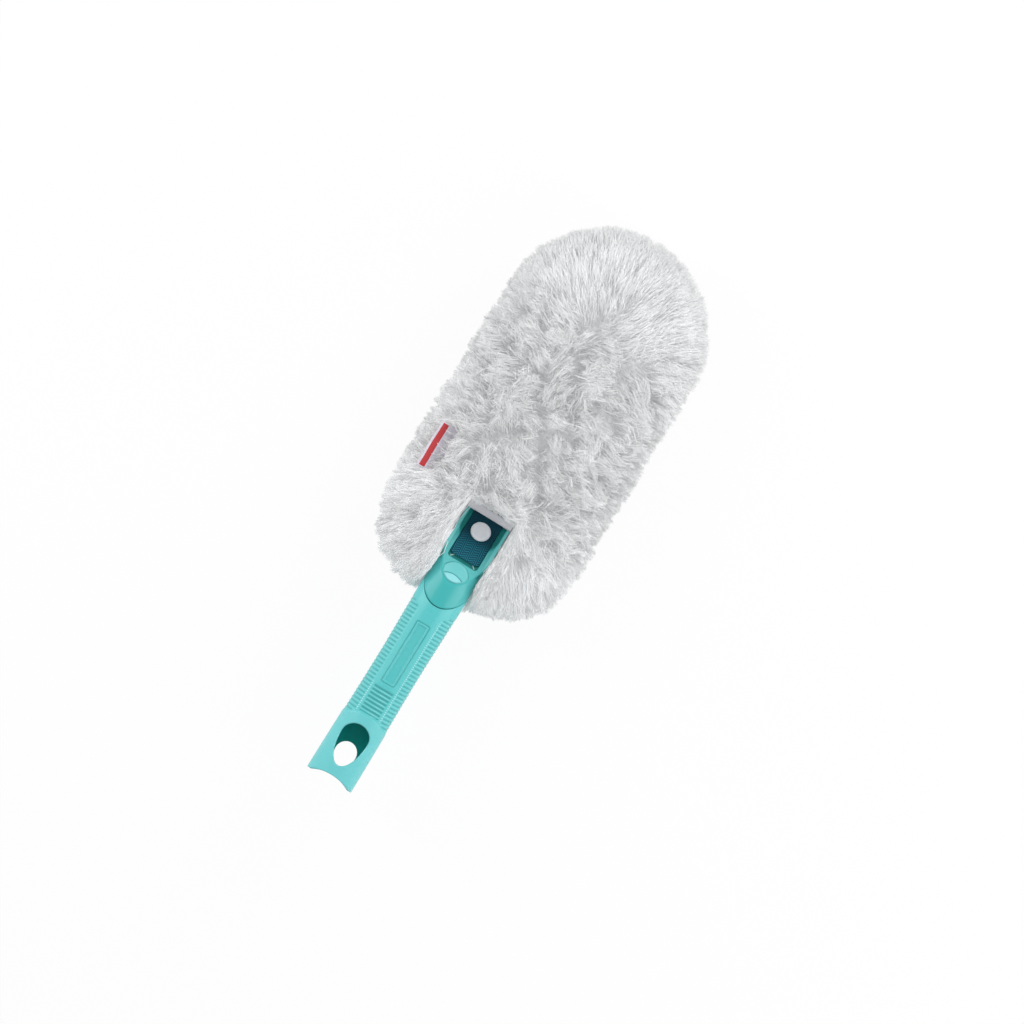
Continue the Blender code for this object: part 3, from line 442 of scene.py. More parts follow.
def webbing():
    """Dark petrol webbing: pale thread crests over dark gaps, with painted shade on the crests near the hem
    that lightens towards the free end.
    """
    finish = Finish("strap_webbing", (0.004, 0.055, 0.085), 0.8, Specular_IOR_Level=0.2)
    relief = finish.attribute("relief")
    lit_end = finish.attribute("free_end_light")
    threads = finish.noise(1400, 3, finish.stretched((1, 0.4, 1)))
    gap = finish.blend(threads.clamped(0.3, 0.7), *WEBBING_GAP)
    # Painted shade on the crests near the hem, fading out towards the free end
    crest = finish.blend(lit_end, *WEBBING_CREST)
    finish.set(Base_Color=finish.blend(relief.clamped(0.25, 0.95) * (threads * 0.5 + 0.75), gap, crest))
    return finish.bump(threads, 0.35, 0.0002)


def plain_weave(finish, scale):
    return (finish.place("X") * scale).sine() * (finish.place("Y") * scale).sine() * 0.5 + 0.5


def woven_tape(name, warp, weft, scale):
    finish = Finish(name, warp, 0.8)
    weave = plain_weave(finish, scale)
    fuzz = finish.noise(900, 3)
    finish.set(Base_Color=finish.blend((weave * 0.6 + fuzz * 0.4).clamped(0.25, 0.75), weft, warp))
    return finish.bump(weave + fuzz * 0.6, 0.4, 0.0002)


def label_weave():
    """Pale satin ribbon with one plain red band down its middle."""
    finish = Finish("label_weave", (0.80, 0.76, 0.84), 0.55)
    band = finish.attribute("band")
    threads = (finish.place("Y") * 9000).sine() * 0.5 + 0.5
    fuzz = finish.noise(700, 3)
    pale = finish.blend(fuzz.clamped(0.3, 0.7), *RIBBON_PALE)
    red = finish.blend(threads, *RIBBON_RED)
    finish.set(Base_Color=finish.blend(band.clamped(0.4, 0.6), pale, red))
    return finish.bump(threads + fuzz * 0.5, 0.3, 0.0002)


def microfibre():
    """White pile with painted shade, greyer down in the tufts. Its faint glow is painted light that stands in
    for the light real strands scatter.
    """
    finish = Finish("microfibre", (0.93, 0.935, 0.94), 0.6)
    shade = finish.attribute("shade")
    low = finish.blend(shade.clamped(0.0, 0.55), PILE_LOW, PILE_MIDDLE)
    white = finish.blend(shade.clamped(0.5, 1.0), low, PILE_TIPS)
    finish.set(Base_Color=white, Emission_Color=white, Emission_Strength=PILE_GLOW)
    return finish.material


def pile_base():
    finish = Finish("pile_base", (0.9, 0.9, 0.9), 0.95)
    # Painted shade: the root is greyer than the pile, with a faint painted glow
    clots = finish.noise(220, 4)
    cloud = finish.blend(clots.clamped(0.35, 0.65), *BASE_SHADE_GREYS)
    finish.set(Base_Color=cloud, Emission_Color=cloud, Emission_Strength=BASE_GLOW)
    return finish.bump(clots, 0.8, 0.002)


def plain_cloth(name, low, high):
    finish = Finish(name, high, 0.9)
    weave = plain_weave(finish, 5200)
    finish.set(Base_Color=finish.blend(weave, low, high))
    return finish.bump(weave, 0.3, 0.0002)


def blade_plastic():
    finish = Finish("blade_plastic", (0.80, 0.82, 0.82), 0.5)
    flow = finish.noise(60, 3)
    finish.set(Base_Color=finish.blend(flow.clamped(0.3, 0.7), (0.76, 0.78, 0.78), (0.83, 0.85, 0.85)))
    return finish.grain(1800, 0.15)


# Modelling

def choose(*pieces):
    bpy.ops.object.select_all(action="DESELECT")
    for piece in pieces:
        piece.select_set(True)
    bpy.context.view_layer.objects.active = pieces[0]


def edit(piece):
    choose(piece)
    bpy.ops.object.mode_set(mode="EDIT")
    bpy.ops.mesh.select_all(action="SELECT")


def leave_edit():
    bpy.ops.object.mode_set(mode="OBJECT")


def named(name):
    piece = bpy.context.object
    piece.name = name
    piece.data.name = name
    return piece


def corners(piece):
    flat = np.empty(len(piece.data.vertices) * 3)
    piece.data.vertices.foreach_get("co", flat)
    return flat.reshape(-1, 3)


def place_corners(piece, places):
    piece.data.vertices.foreach_set("co", np.ascontiguousarray(places, dtype=np.float32).ravel())
    piece.data.update()


def move(piece, matrix):
    piece.data.transform(matrix)


def paint(piece, name, values):
    """Store one number for each corner, which a finish reads by name."""
    layer = piece.data.attributes.new(name, "FLOAT", "POINT")
    layer.data.foreach_set("value", np.ascontiguousarray(values, dtype=np.float32))


def apply_modifier(piece, kind, **settings):
    choose(piece)
    modifier = piece.modifiers.new(kind.lower(), kind)
    for name, value in settings.items():
        setattr(modifier, name, value)
    bpy.ops.object.modifier_apply(modifier=modifier.name)


def cut(piece, tool):
    apply_modifier(piece, "BOOLEAN", object=tool, operation="DIFFERENCE", solver="MANIFOLD")
    bpy.data.objects.remove(tool)


def make_outward(piece, fill=False):
    edit(piece)
    bpy.ops.mesh.remove_doubles(threshold=MERGE)
    if fill:
        bpy.ops.mesh.fill_holes(sides=0)
    bpy.ops.mesh.normals_make_consistent(inside=False)
    leave_edit()


def settle(piece, angle, matrix=ONTO_HANDLE):
    """Smooth all edges softer than an angle, and put the piece where it belongs."""
    choose(piece)
    bpy.ops.object.shade_smooth_by_angle(angle=math.radians(angle))
    move(piece, matrix)


def finish_piece(piece, material, body, slot, *nodes):
    piece.data.materials.clear()
    piece.data.materials.append(material)
    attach(piece, body)
    if nodes:
        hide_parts(*nodes)


def ringed_tube(name, rings, closed=False):
    """A grid rolled up into a tube, with its rings put where they belong.

    A closed tube's last ring meets its first, and an open one has its two ends filled.
    """
    rings = np.array(rings)
    count, sectors, _ = rings.shape
    bpy.ops.mesh.primitive_grid_add(x_subdivisions=sectors, y_subdivisions=count - 1, size=2)
    piece = named(name)
    spots = corners(piece)
    sector = np.rint((spots[:, 0] + 1) / 2 * sectors).astype(int) % sectors
    ring = np.rint((spots[:, 1] + 1) / 2 * (count - 1)).astype(int)
    place_corners(piece, rings[ring, sector])
    make_outward(piece, fill=not closed)
    return piece


def outline_prism(name, outline, low, high):
    """A filled circle shaped to an outline, then extruded."""
    bpy.ops.mesh.primitive_circle_add(vertices=len(outline), radius=1, fill_type="NGON")
    piece = named(name)
    spots = corners(piece)
    turn = np.rint(np.arctan2(spots[:, 0], spots[:, 1]) / math.tau * len(outline)).astype(int)
    place_corners(piece, row(*np.array(outline)[turn % len(outline)].T, low))
    edit(piece)
    bpy.ops.mesh.extrude_region_move(TRANSFORM_OT_translate={"value": (0, 0, high - low)})
    leave_edit()
    make_outward(piece)
    return piece


def box_tool(name, low, high):
    size = [b - a for a, b in zip(low, high)]
    middle = [(a + b) / 2 for a, b in zip(low, high)]
    bpy.ops.mesh.primitive_cube_add(size=1)
    piece = named(name)
    move(piece, Matrix.Translation(middle) @ Matrix.Diagonal((*size, 1)))
    return piece


def arc(centre, radius, start, end, steps):
    radii = radius if isinstance(radius, tuple) else (radius, radius)
    turns = [start + (end - start) * k / steps for k in range(steps + 1)]
    return [(centre[0] + radii[0] * math.cos(t), centre[1] + radii[1] * math.sin(t)) for t in turns]


def ease(share):
    """0 to 1 with a soft start and end."""
    share = np.clip(share, 0, 1)
    return share * share * (3 - 2 * share)


def row(x, y, z):
    """Places from their coordinates, each one number or an array."""
    return np.column_stack(np.broadcast_arrays(x, y, z))


def shares(count):
    """Even shares up to 1, without the 0 that they start from."""
    return np.linspace(0, 1, count)[1:]


def turns_round(sectors):
    return np.arange(sectors) / sectors * math.tau


def squared_off(wave, power):
    """A sine or cosine pushed out towards a square's."""
    return np.sign(wave) * np.abs(wave) ** power


def hump(offset, reach):
    """1 at no offset, falling to 0 at the reach and beyond."""
    return np.clip(1 - (offset / reach) ** 2, 0, 1)


# Grip

def grip_radius(y):
    low = GRIP_END_RADIUS + (GRIP_WAIST_RADIUS - GRIP_END_RADIUS) * ease(y / GRIP_WAIST_Y)
    past_waist = (y - GRIP_WAIST_Y) / (SEAM_Y - GRIP_WAIST_Y)
    high = GRIP_WAIST_RADIUS + (NECK_RADIUS - GRIP_WAIST_RADIUS) * ease(past_waist)
    return np.where(y < GRIP_WAIST_Y, low, high)


def mouth_line(x):
    return MOUTH_DEPTH - MOUTH_CURVE_RADIUS + np.sqrt(MOUTH_CURVE_RADIUS ** 2 - x ** 2)


def seam_line(x):
    return SEAM_Y + SEAM_RISE * (1 - np.sqrt(hump(x, SEAM_HALF_WIDTH)))


def wave(y, start, pitch, sharpness):
    """1 on each ridge and 0 in each groove between ridges."""
    return (0.5 - 0.5 * np.cos(math.tau * (y - start) / pitch)) ** sharpness


def box_distance(x, y, half_width, low, high, corner):
    """Distance out of a rounded box, negative inside."""
    dx = np.abs(x) - half_width + corner
    dy = np.abs(y - (low + high) / 2) - (high - low) / 2 + corner
    outside = np.hypot(np.maximum(dx, 0), np.maximum(dy, 0))
    return outside + np.minimum(np.maximum(dx, dy), 0) - corner


def grip_relief(x, y, front):
    """Height of the grip's moulded detail above its plain round, and each spot's tone of painted shade and
    highlight.
    """
    across = np.abs(x)
    share = (across - RIB_INNER_EDGE) / (GRIP_END_RADIUS - RIB_INNER_EDGE)
    low = RIBS_LOW_INNER_Y + (RIBS_LOW_OUTER_Y - RIBS_LOW_INNER_Y) * share
    high = RIBS_HIGH_INNER_Y + (RIBS_HIGH_OUTER_Y - RIBS_HIGH_INNER_Y) * share
    flank = ease((across - RIB_INNER_EDGE) / SOFT_EDGE / 2)
    flank = flank * ease((y - low) / SOFT_EDGE) * ease((high - y) / SOFT_EDGE)
    ribs = wave(y, RIBS_LOW_OUTER_Y, RIB_PITCH, 0.8)
    height = -RIB_DEPTH * flank * (1 - ribs)
    # Painted shade in the rib grooves and painted highlight on their crests
    tone = 0.5 + flank * (ribs - 0.62) * 0.62
    strip = ease((CROSS_HALF_WIDTH - across) / SOFT_EDGE) * front
    strip = strip * ease((y - CROSS_LOW_Y) / SOFT_EDGE) * ease((CROSS_HIGH_Y - y) / SOFT_EDGE)
    bars = wave(y, CROSS_LOW_Y, (CROSS_HIGH_Y - CROSS_LOW_Y) / CROSS_BARS, 1.6)
    height = height - CROSS_DEPTH * strip * (1 - bars)
    # Painted shade in the cross grooves and painted highlight on the bars
    tone = tone + strip * (bars - 0.6) * 0.8
    along = ease((y - RIBS_LOW_INNER_Y) / 0.002) * ease((RIBS_HIGH_INNER_Y - y) / 0.004)
    bead = hump(across - BEAD_X, BEAD_HALF_WIDTH) * along
    beside_bars = ease((CROSS_HIGH_Y + 0.002 - y) / 0.004)
    notched = 0.1 + 0.9 * wave(y, RIBS_LOW_OUTER_Y, BEAD_PITCH, 1.5)
    bead = bead * front * notched * np.where(x > 0, 1, 0.25 + 0.75 * beside_bars)
    height = height + BEAD_HEIGHT * bead
    # Painted glints along the beads
    tone = tone + 0.95 * bead
    frame_gap = box_distance(x, y, PANEL_HALF_WIDTH, PANEL_LOW_Y, PANEL_HIGH_Y, PANEL_CORNER)
    groove = hump(frame_gap, 0.0005) * front
    inner = ease((-0.0016 - frame_gap) / SOFT_EDGE) * front
    height = height - PANEL_GROOVE * groove - PANEL_DEPTH * inner
    rim = hump(frame_gap + 0.0010, 0.0004) * front
    # Painted shade in the panel's groove and hollow, painted highlight on its rim
    tone = tone - 0.45 * groove - 0.12 * inner + 0.15 * rim
    band = ease((low - 0.0006 - y) / 0.0008)
    inner_low = CROSS_LOW_Y - 0.0004 - 0.0018 * (across / RIB_INNER_EDGE) ** 2
    inside = ease((inner_low - y) / 0.0008)
    end_band = np.where(across > RIB_INNER_EDGE, band, inside)
    height = height + END_BAND_RISE * end_band
    # The end band is painted lighter as a highlight
    return height, np.clip(tone + 0.21 * end_band, 0, 1.6)


def front_weighted_turns(sectors):
    """Sector directions round the handle, closer together on the front."""
    even = turns_round(sectors)
    return even - 0.30 * np.sin(even)


def grip_rings(sectors=168):
    """The grip's wall in section, up its outside from the mouth to the seam and back down its bore."""
    turns = front_weighted_turns(sectors)
    sine, cosine = np.sin(turns), np.cos(turns)
    front = (cosine > 0).astype(float)
    mouth = mouth_line(GRIP_END_RADIUS * sine)
    seam = seam_line(NECK_RADIUS * np.clip(sine, -1, 1))
    edge = GRIP_EDGE
    rows = []

    def outer(y, drop=0.0):
        radius = grip_radius(y) + grip_relief(grip_radius(y) * sine, y, front)[0] - drop
        rows.append(row(radius * sine, y, radius * cosine))

    def inner(y, drop=0.0):
        radius = np.full(sectors, GRIP_BORE_RADIUS + drop)
        rows.append(row(radius * sine, y, radius * cosine))

    lip = [(edge * (1 - math.cos(t)), edge * (1 - math.sin(t))) for t in np.linspace(0, math.pi / 2, 5)]
    for along, drop in lip:
        outer(mouth + along, drop)
    low, body, high = 0.008, 0.046, 0.1425
    for share in shares(6):
        outer(mouth + edge + (low - mouth - edge) * share)
    for y in np.linspace(low, body, 39)[1:]:
        outer(np.full(sectors, y))
    top = np.minimum(high, seam - 0.0015)
    for share in shares(259):
        outer(body + (top - body) * share)
    for share in shares(14):
        outer(top + (seam - edge / 2 - top) * share)
    for along, drop in reversed(lip[:-1]):
        outer(seam - along / 2, drop / 2)
    for along, _ in lip[1:]:
        inner(seam - along / 2)
    for share in shares(17):
        inner(seam - edge / 2 + (mouth + edge - seam + edge / 2) * share)
    for along, drop in reversed(lip[:-1]):
        inner(mouth + along, drop)
    return rows + rows[:1]


# Each hole's widest place, half width, rise above it, drop below it and the steps of the drop
EGG_HOLE = (HOLE_WIDEST_Y, HOLE_HALF_WIDTH, HOLE_ROUND_HEIGHT, HOLE_LONG_HEIGHT, 52)
REAR_HOLE = (REAR_HOLE_Y, REAR_HOLE_RADIUS, REAR_HOLE_RADIUS, REAR_HOLE_DROP, 40)


def hole_outline(hole, grow):
    """Half an ellipse above the hole's widest place, and another one below it."""
    centre_y, half_width, up, down, steps = hole
    upper = arc((0, centre_y), (half_width + grow, up + grow), 0, math.pi, 36)
    lower = arc((0, centre_y), (half_width + grow, down + grow), math.pi, math.tau, steps)
    return np.array(upper + lower[1:-1]).T


def hole_tool(name, hole, side):
    """A cutter that flares just at the grip's outer and inner skins, which leaves a small chamfer."""
    def flat(grow, height):
        return row(*hole_outline(hole, grow), side * height)

    def curved(grow, out, skin):
        x, y = hole_outline(hole, grow)
        radius = (grip_radius(y) if skin else GRIP_BORE_RADIUS) + out
        return row(x, y, side * np.sqrt(np.maximum(radius ** 2 - x ** 2, 0)))

    return ringed_tube(name, [
        flat(0, 0.003), curved(HOLE_CHAMFER, -HOLE_CHAMFER, False), curved(0, HOLE_CHAMFER, False),
        curved(0, -HOLE_CHAMFER, True), curved(2 * HOLE_CHAMFER, HOLE_CHAMFER, True),
        flat(2 * HOLE_CHAMFER, 2 * GRIP_END_RADIUS)])


def make_grip():
    grip = ringed_tube("grip_shell", grip_rings(), closed=True)
    cut(grip, hole_tool("egg_tool", EGG_HOLE, 1))
    cut(grip, hole_tool("rear_tool", REAR_HOLE, -1))
    x, y, z = corners(grip).T
    radius = np.hypot(x, z)
    across = x * grip_radius(y) / np.maximum(radius, 0.001)
    # Painted shade and highlights from the relief
    paint(grip, "relief", grip_relief(across, y, (z > 0).astype(float))[1])
    # Painted shade inside the bore
    paint(grip, "inside", 1 - ease((radius - GRIP_BORE_RADIUS - GRIP_WALL * 0.35) / 0.0004))
    settle(grip, 32)
    plastic = moulded_plastic("grip_plastic", GRIP_TURQUOISE, 0.28)
    finish_piece(grip, plastic, "grip_body", "grip_plastic", "grip")


# Neck

def scoop_relief(x, along):
    """Depth of the strap's pocket and channel in the scoop, with drafted walls, and of its gentle dish."""
    pocket = box_distance(x, along, POCKET_HALF_WIDTH, POCKET_START, 0.08, POCKET_CORNER)
    widening = ease((along - CHANNEL_START + 0.006) / 0.015)
    channel = np.abs(x) - POCKET_HALF_WIDTH - (CHANNEL_HALF_WIDTH - POCKET_HALF_WIDTH) * widening
    depth = CHANNEL_DEPTH * ease(-channel / CHANNEL_WALL + 0.3) * widening ** 0.5
    depth = np.maximum(depth, POCKET_DEPTH * ease((POCKET_WALL / 2 - pocket) / POCKET_WALL))
    dish = DISH_DEPTH * hump(x, NECK_RADIUS) * ease(along / 0.012)
    return np.maximum(depth, dish)


def neck_section(y, steps=1440):
    """The neck's outline at a place: a round that grows square, cut off softly by the scoop."""
    share = ease((y - NECK_SQUARE_FROM_Y) / (NECK_END_Y - NECK_SQUARE_FROM_Y))
    height = NECK_RADIUS + (NECK_END_HALF_HEIGHT - NECK_RADIUS) * share
    power = 2 / (2 + (NECK_END_SQUARENESS - 2) * share)
    turns = np.linspace(0, math.tau, steps + 1)
    sine, cosine = np.sin(turns), -np.cos(turns)
    x = squared_off(sine, power) * NECK_RADIUS
    z = squared_off(cosine, power) * height
    over = (z - scoop_level(y)) / SCOOP_EDGE_ROUNDING
    z = z - SCOOP_EDGE_ROUNDING * np.logaddexp(0, over)
    return x, z


def spaced(x, z, sectors, top_weight):
    """The same outline with its corners spread by length, closer together on top."""
    step = np.hypot(np.diff(x), np.diff(z))
    middle = (z[1:] + z[:-1]) / 2
    step = step * np.where(middle > middle.max() - 0.004, top_weight, 1.0)
    length = np.concatenate([[0], np.cumsum(step)])
    wanted = np.arange(sectors) / sectors * length[-1]
    return np.interp(wanted, length, x), np.interp(wanted, length, z)


def sink_scoop(y, x, z):
    """Lower the scoop's own surface by its relief."""
    along = slope_place(y)
    on_top = ease((z - scoop_level(y) + 0.0012) / 0.0006) * ease((along - 0.004) / 0.004)
    return z - scoop_relief(x, along) * on_top / math.cos(SCOOP_ANGLE)


def neck_rings(sectors=240):
    """The neck in section, out of the spigot's bore, over the spigot and the seam and up the throat."""
    x_round, z_round = spaced(*neck_section(SEAM_Y), sectors, 1.0)
    size = np.hypot(x_round, z_round)
    spigot = GRIP_BORE_RADIUS - GAP
    bore = spigot - SPIGOT_WALL
    low = SEAM_Y - SPIGOT_LENGTH
    edge = 0.0005
    seam = seam_line(x_round) + SEAM_STEP
    rows = []

    def level(radius, y):
        rows.append(row(x_round / size * radius, y, z_round / size * radius))

    level(bore * 0.5, BORE_DEPTH_Y)
    level(bore - edge, BORE_DEPTH_Y)
    level(bore, BORE_DEPTH_Y - edge)
    for y in np.linspace(BORE_DEPTH_Y - edge, low + edge, 12)[1:]:
        level(bore, y)
    level(bore + edge, low)
    level(spigot - edge, low)
    for y in np.linspace(low + edge, SEAM_Y - 0.001, 12):
        level(spigot, y)
    for share in (0.5, 1.0):
        level(spigot, SEAM_Y - 0.001 + (seam + 0.0004 - SEAM_Y + 0.001) * share)
    level(spigot + (NECK_RADIUS - spigot) * 0.5, seam)
    for along, drop in ((0, edge), (edge * 0.3, edge * 0.3), (edge, 0)):
        level(NECK_RADIUS - drop * 0.6, seam + along)
    start = seam + edge
    meet = SCOOP_TIP_Y - 0.0008
    for share in shares(16):
        y = start + (meet - start) * share
        level(NECK_RADIUS, y)
    for y in np.linspace(meet, NECK_END_Y - edge, 190)[1:]:
        x, z = spaced(*neck_section(y), sectors, 1.0 + 2.0 * ease((y - meet) / 0.004))
        rows.append(row(x, y, sink_scoop(y, x, z)))
    x, z = spaced(*neck_section(NECK_END_Y), sectors, 3.0)
    z = sink_scoop(NECK_END_Y, x, z)
    centre = (z.max() + z.min()) / 2
    for inset, y in ((edge * 0.3, NECK_END_Y - edge * 0.3), (edge, NECK_END_Y), (0.004, NECK_END_Y)):
        shrink_x = 1 - inset / NECK_RADIUS
        shrink_z = 1 - inset / ((z.max() - z.min()) / 2)
        rows.append(row(x * shrink_x, y, centre + (z - centre) * shrink_z))
    return rows


def crossing(radius_a, centre_a, radius_b, centre_b):
    """Half width and place at which two circles on the centre line cross."""
    place = (radius_a ** 2 - centre_a ** 2 - radius_b ** 2 + centre_b ** 2) / (2 * (centre_b - centre_a))
    return math.sqrt(radius_a ** 2 - (place - centre_a) ** 2), place


def lens_outline(top_radius, top_centre, grow, steps=40):
    """The shape between an upper arc and the thumb pad's lower arc."""
    top_radius += grow
    low_radius = PAD_LOW_RADIUS + grow
    half, place = crossing(top_radius, top_centre, low_radius, PAD_LOW_CENTRE)
    start = math.atan2(place - top_centre, half)
    upper = arc((0, top_centre), top_radius, start, math.pi - start, steps)
    fall = math.atan2(place - PAD_LOW_CENTRE, -half) % math.tau
    rise = math.tau + math.atan2(place - PAD_LOW_CENTRE, half)
    if rise > 2 * math.tau - fall:
        rise -= math.tau
    return upper + arc((0, PAD_LOW_CENTRE), low_radius, fall, rise, steps)[1:-1]


def make_neck():
    neck = ringed_tube("neck_throat", neck_rings())
    over = 0.02
    round_pad = lens_outline(PAD_TOP_RADIUS + GAP - PAD_LOW_GAP, PAD_TOP_CENTRE, PAD_LOW_GAP)
    round_stud = arc((0, SNAP_ALONG), STUD_WELL_RADIUS, 0, math.tau, 64)[:-1]
    for tool in (outline_prism("stud_well_tool", round_stud, -STUD_WELL_DEPTH, over),
                 outline_prism("pad_well_tool", round_pad, -PAD_WELL_DEPTH, over)):
        move(tool, ONTO_SCOOP)
        cut(neck, tool)
    cut(neck, box_tool("tang_tool", (-TANG_HALF_WIDTH, TANG_START_Y, BLADE_Z - TANG_HALF_HEIGHT),
                       (TANG_HALF_WIDTH, NECK_END_Y + over, BLADE_Z + TANG_HALF_HEIGHT)))
    x, y, z = corners(neck).T
    past_seam = y - seam_line(x)
    # Painted shade along the seam's gap
    seam = ease((past_seam + 0.0016) / 0.0004) * ease((0.0172 - np.hypot(x, z)) / 0.0003)
    paint(neck, "seam", seam * ease((SEAM_STEP + 0.0002 - past_seam) / 0.0002))
    # Painted glints on the pocket floor at its lower corners
    from_corner, past_corner = np.abs(x) - GLINT_X, slope_place(y) - GLINT_ALONG
    off_line = np.abs(from_corner + past_corner) / math.sqrt(2)
    off_middle = np.abs(from_corner - past_corner) / math.sqrt(2)
    glint = 0.65 * ease((0.0005 - off_line) / 0.0003) * ease((0.0019 - off_middle) / 0.0004)
    paint(neck, "glint", glint * ease((z - scoop_level(y) + 0.0045) / 0.0005))
    settle(neck, 30)
    finish_piece(neck, neck_plastic(), "head", "neck_plastic", "neck")


# Thumb pad

def pad_relief(x, y):
    """Height of the pad's crescent lip, of the groove along it and of the hollow for the thumb."""
    in_lip = LIP_RADIUS - np.hypot(x, y - LIP_CENTRE)
    in_low = PAD_LOW_RADIUS - np.hypot(x, y - PAD_LOW_CENTRE)
    crescent = ease(in_lip / 0.0007) * ease((in_low + 0.0001) / 0.0007)
    groove = hump(in_lip + 0.0003, 0.0005) * ease((in_low - 0.0004) / 0.0006)
    hollow = hump(np.hypot(x, y - PAD_TOP_CENTRE + 0.0005), PAD_TOP_RADIUS * 0.9)
    height = LIP_HEIGHT * 1.2 * crescent - 0.0004 * groove - 0.0003 * hollow * (1 - crescent)
    return height, crescent, groove


def make_thumb_pad():
    outline = np.array(lens_outline(PAD_TOP_RADIUS, PAD_TOP_CENTRE, 0, 60))
    centre = (outline.max(axis=0) + outline.min(axis=0)) / 2
    rows = []
    for share, level in ((0.5, 0), (0.97, 0), (1, 0.1), (1, 0.5), (1, 0.9)):
        x, y = (centre + (outline - centre) * share).T
        rows.append(row(x, y, PAD_STANDS - PAD_THICKNESS * (1 - level)))
    for share in np.concatenate([[0.995, 0.98, 0.96], np.linspace(0.93, 0.04, 42)]):
        x, y = (centre + (outline - centre) * share).T
        rounding = 0.0003 * (1 - ease((1 - share) / 0.05))
        rows.append(row(x, y, PAD_STANDS - rounding + pad_relief(x, y)[0]))
    pad = ringed_tube("thumb_pad", rows)
    x, y, z = corners(pad).T
    _, crescent, groove = pad_relief(x, y)
    # Painted highlight on the crescent lip and painted shade in its groove
    paint(pad, "relief", np.clip(0.58 + 0.42 * crescent - 0.58 * groove, 0, 1))
    # Painted shade down the pad's sides in its well
    paint(pad, "inside", 1 - ease((z + 0.0016) / 0.0004))
    settle(pad, 40, ONTO_HANDLE @ ONTO_SCOOP)
    plastic = moulded_plastic("pad_plastic", PAD_TURQUOISE, 0.30)
    finish_piece(pad, plastic, "button_body", "button_plastic", "release_button")


# Strap

def strap_line():
    """The strap's middle line, seen from the side, from its free end to the end of its sewn tail."""
    middle = STRAP_UNDER + STRAP_THICKNESS / 2
    cosine, sine = math.cos(SCOOP_ANGLE), math.sin(SCOOP_ANGLE)
    level = BLADE_Z + SLEEVE_HALF_THICKNESS + GAP + STRAP_THICKNESS / 2
    start_y = SCOOP_TIP_Y + STRAP_END * cosine + middle * sine
    start_z = NECK_RADIUS - STRAP_END * sine + middle * cosine
    fold_y = start_y + (start_z - level) / math.tan(SCOOP_ANGLE)
    return np.array([(start_y, start_z), (fold_y - STRAP_BEND * cosine, level + STRAP_BEND * sine),
                     (fold_y + STRAP_BEND, level), (TAIL_END_Y, level)])


def twill(x, along):
    """Herringbone ridges: 1 on a thread's crest, 0 in the gaps."""
    column = x / TWILL_COLUMN
    way = np.where(np.floor(column) % 2 == 0, 1.0, -1.0)
    inside = column - np.floor(column) - 0.5
    slant = way * inside * TWILL_COLUMN / TWILL_PITCH * 0.9
    ridge = 0.5 + 0.5 * np.cos(math.tau * (along / TWILL_PITCH + slant))
    return ridge ** 0.8


def make_strap():
    line = strap_line()
    length = np.concatenate([[0], np.cumsum(np.hypot(*np.diff(line, axis=0).T))])
    lengths = np.linspace(0, length[-1], 230)
    half, thick = STRAP_WIDTH / 2, STRAP_THICKNESS / 2
    edge = thick * 0.9
    turns = turns_round(200)
    flat = np.clip(np.sin(turns) * 1.35, -1, 1)
    top = np.where(np.cos(turns) >= 0, 1, -1)
    rows = []

    def on_line(along, axis):
        return np.interp(along, length, line[:, axis])

    for along in np.concatenate([[-edge * 0.7], lengths, [lengths[-1] + edge * 0.7]]):
        inside = min(max(along, 0), lengths[-1])
        rounding = math.sqrt(max(0, STRAP_CORNER ** 2 - max(0, STRAP_CORNER - inside) ** 2))
        narrow = half - STRAP_CORNER + rounding
        taper = 0.35 if along != inside else 1.0
        x = flat * (narrow - edge * (1 - taper))
        side = np.sqrt(np.clip(1 - (np.maximum(np.abs(x) - (narrow - edge), 0) / edge) ** 2, 0, 1))
        weave = TWILL_DEPTH * (1 - twill(x, along)) * side
        z = top * (thick * (0.3 + 0.7 * side) * taper - weave)
        ahead, behind = min(inside + 0.0008, lengths[-1]), max(inside - 0.0008, 0)
        dy, dz = (on_line(ahead, k) - on_line(behind, k) for k in (0, 1))
        scale = math.hypot(dy, dz)
        dy, dz = dy / scale, dz / scale
        y_mid = on_line(inside, 0) + dy * (along - inside)
        z_mid = on_line(inside, 1) + dz * (along - inside)
        rows.append(row(x, y_mid - dz * z, z_mid + dy * z))
    strap = ringed_tube("closure_webbing", rows)
    x, y, _ = corners(strap).T
    along = slope_place(y) - STRAP_END
    paint(strap, "relief", twill(x, along))
    # Painted shade near the hem, lightening towards the strap's free end
    paint(strap, "free_end_light", 1 - ease((along - 0.010) / 0.012))
    settle(strap, 60)
    strap.data.materials.append(webbing())
    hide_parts("closure_strap", "strap_tail")
    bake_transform(strap)


# Press stud

def make_snap_cap():
    """A shallow moulded dome with a rolled edge and a faint ring round its sunk middle."""
    under = STRAP_UNDER + STRAP_THICKNESS + GAP
    reach, level = 0.1, 0.93
    bpy.ops.mesh.primitive_circle_add(vertices=96, radius=CAP_RADIUS * reach, fill_type="NGON")
    cap = named("snap_cap_dome")
    move(cap, Matrix.Translation((0, 0, under + CAP_HEIGHT * level)))
    edit(cap)
    for share, height in CAP_PROFILE:
        rise = (0, 0, (height - level) * CAP_HEIGHT)
        bpy.ops.mesh.extrude_region_move(TRANSFORM_OT_translate={"value": rise})
        bpy.ops.transform.resize(value=(share / reach, share / reach, 1))
        reach, level = share, height
    leave_edit()
    make_outward(cap)
    apply_modifier(cap, "SUBSURF", levels=1, render_levels=1)
    settle(cap, 60, ONTO_HANDLE @ ONTO_SCOOP @ Matrix.Translation((0, SNAP_ALONG, 0)))
    finish_piece(cap, snap_plastic(), "strap_body", "cap_plastic", "snap_cap")


# Hem

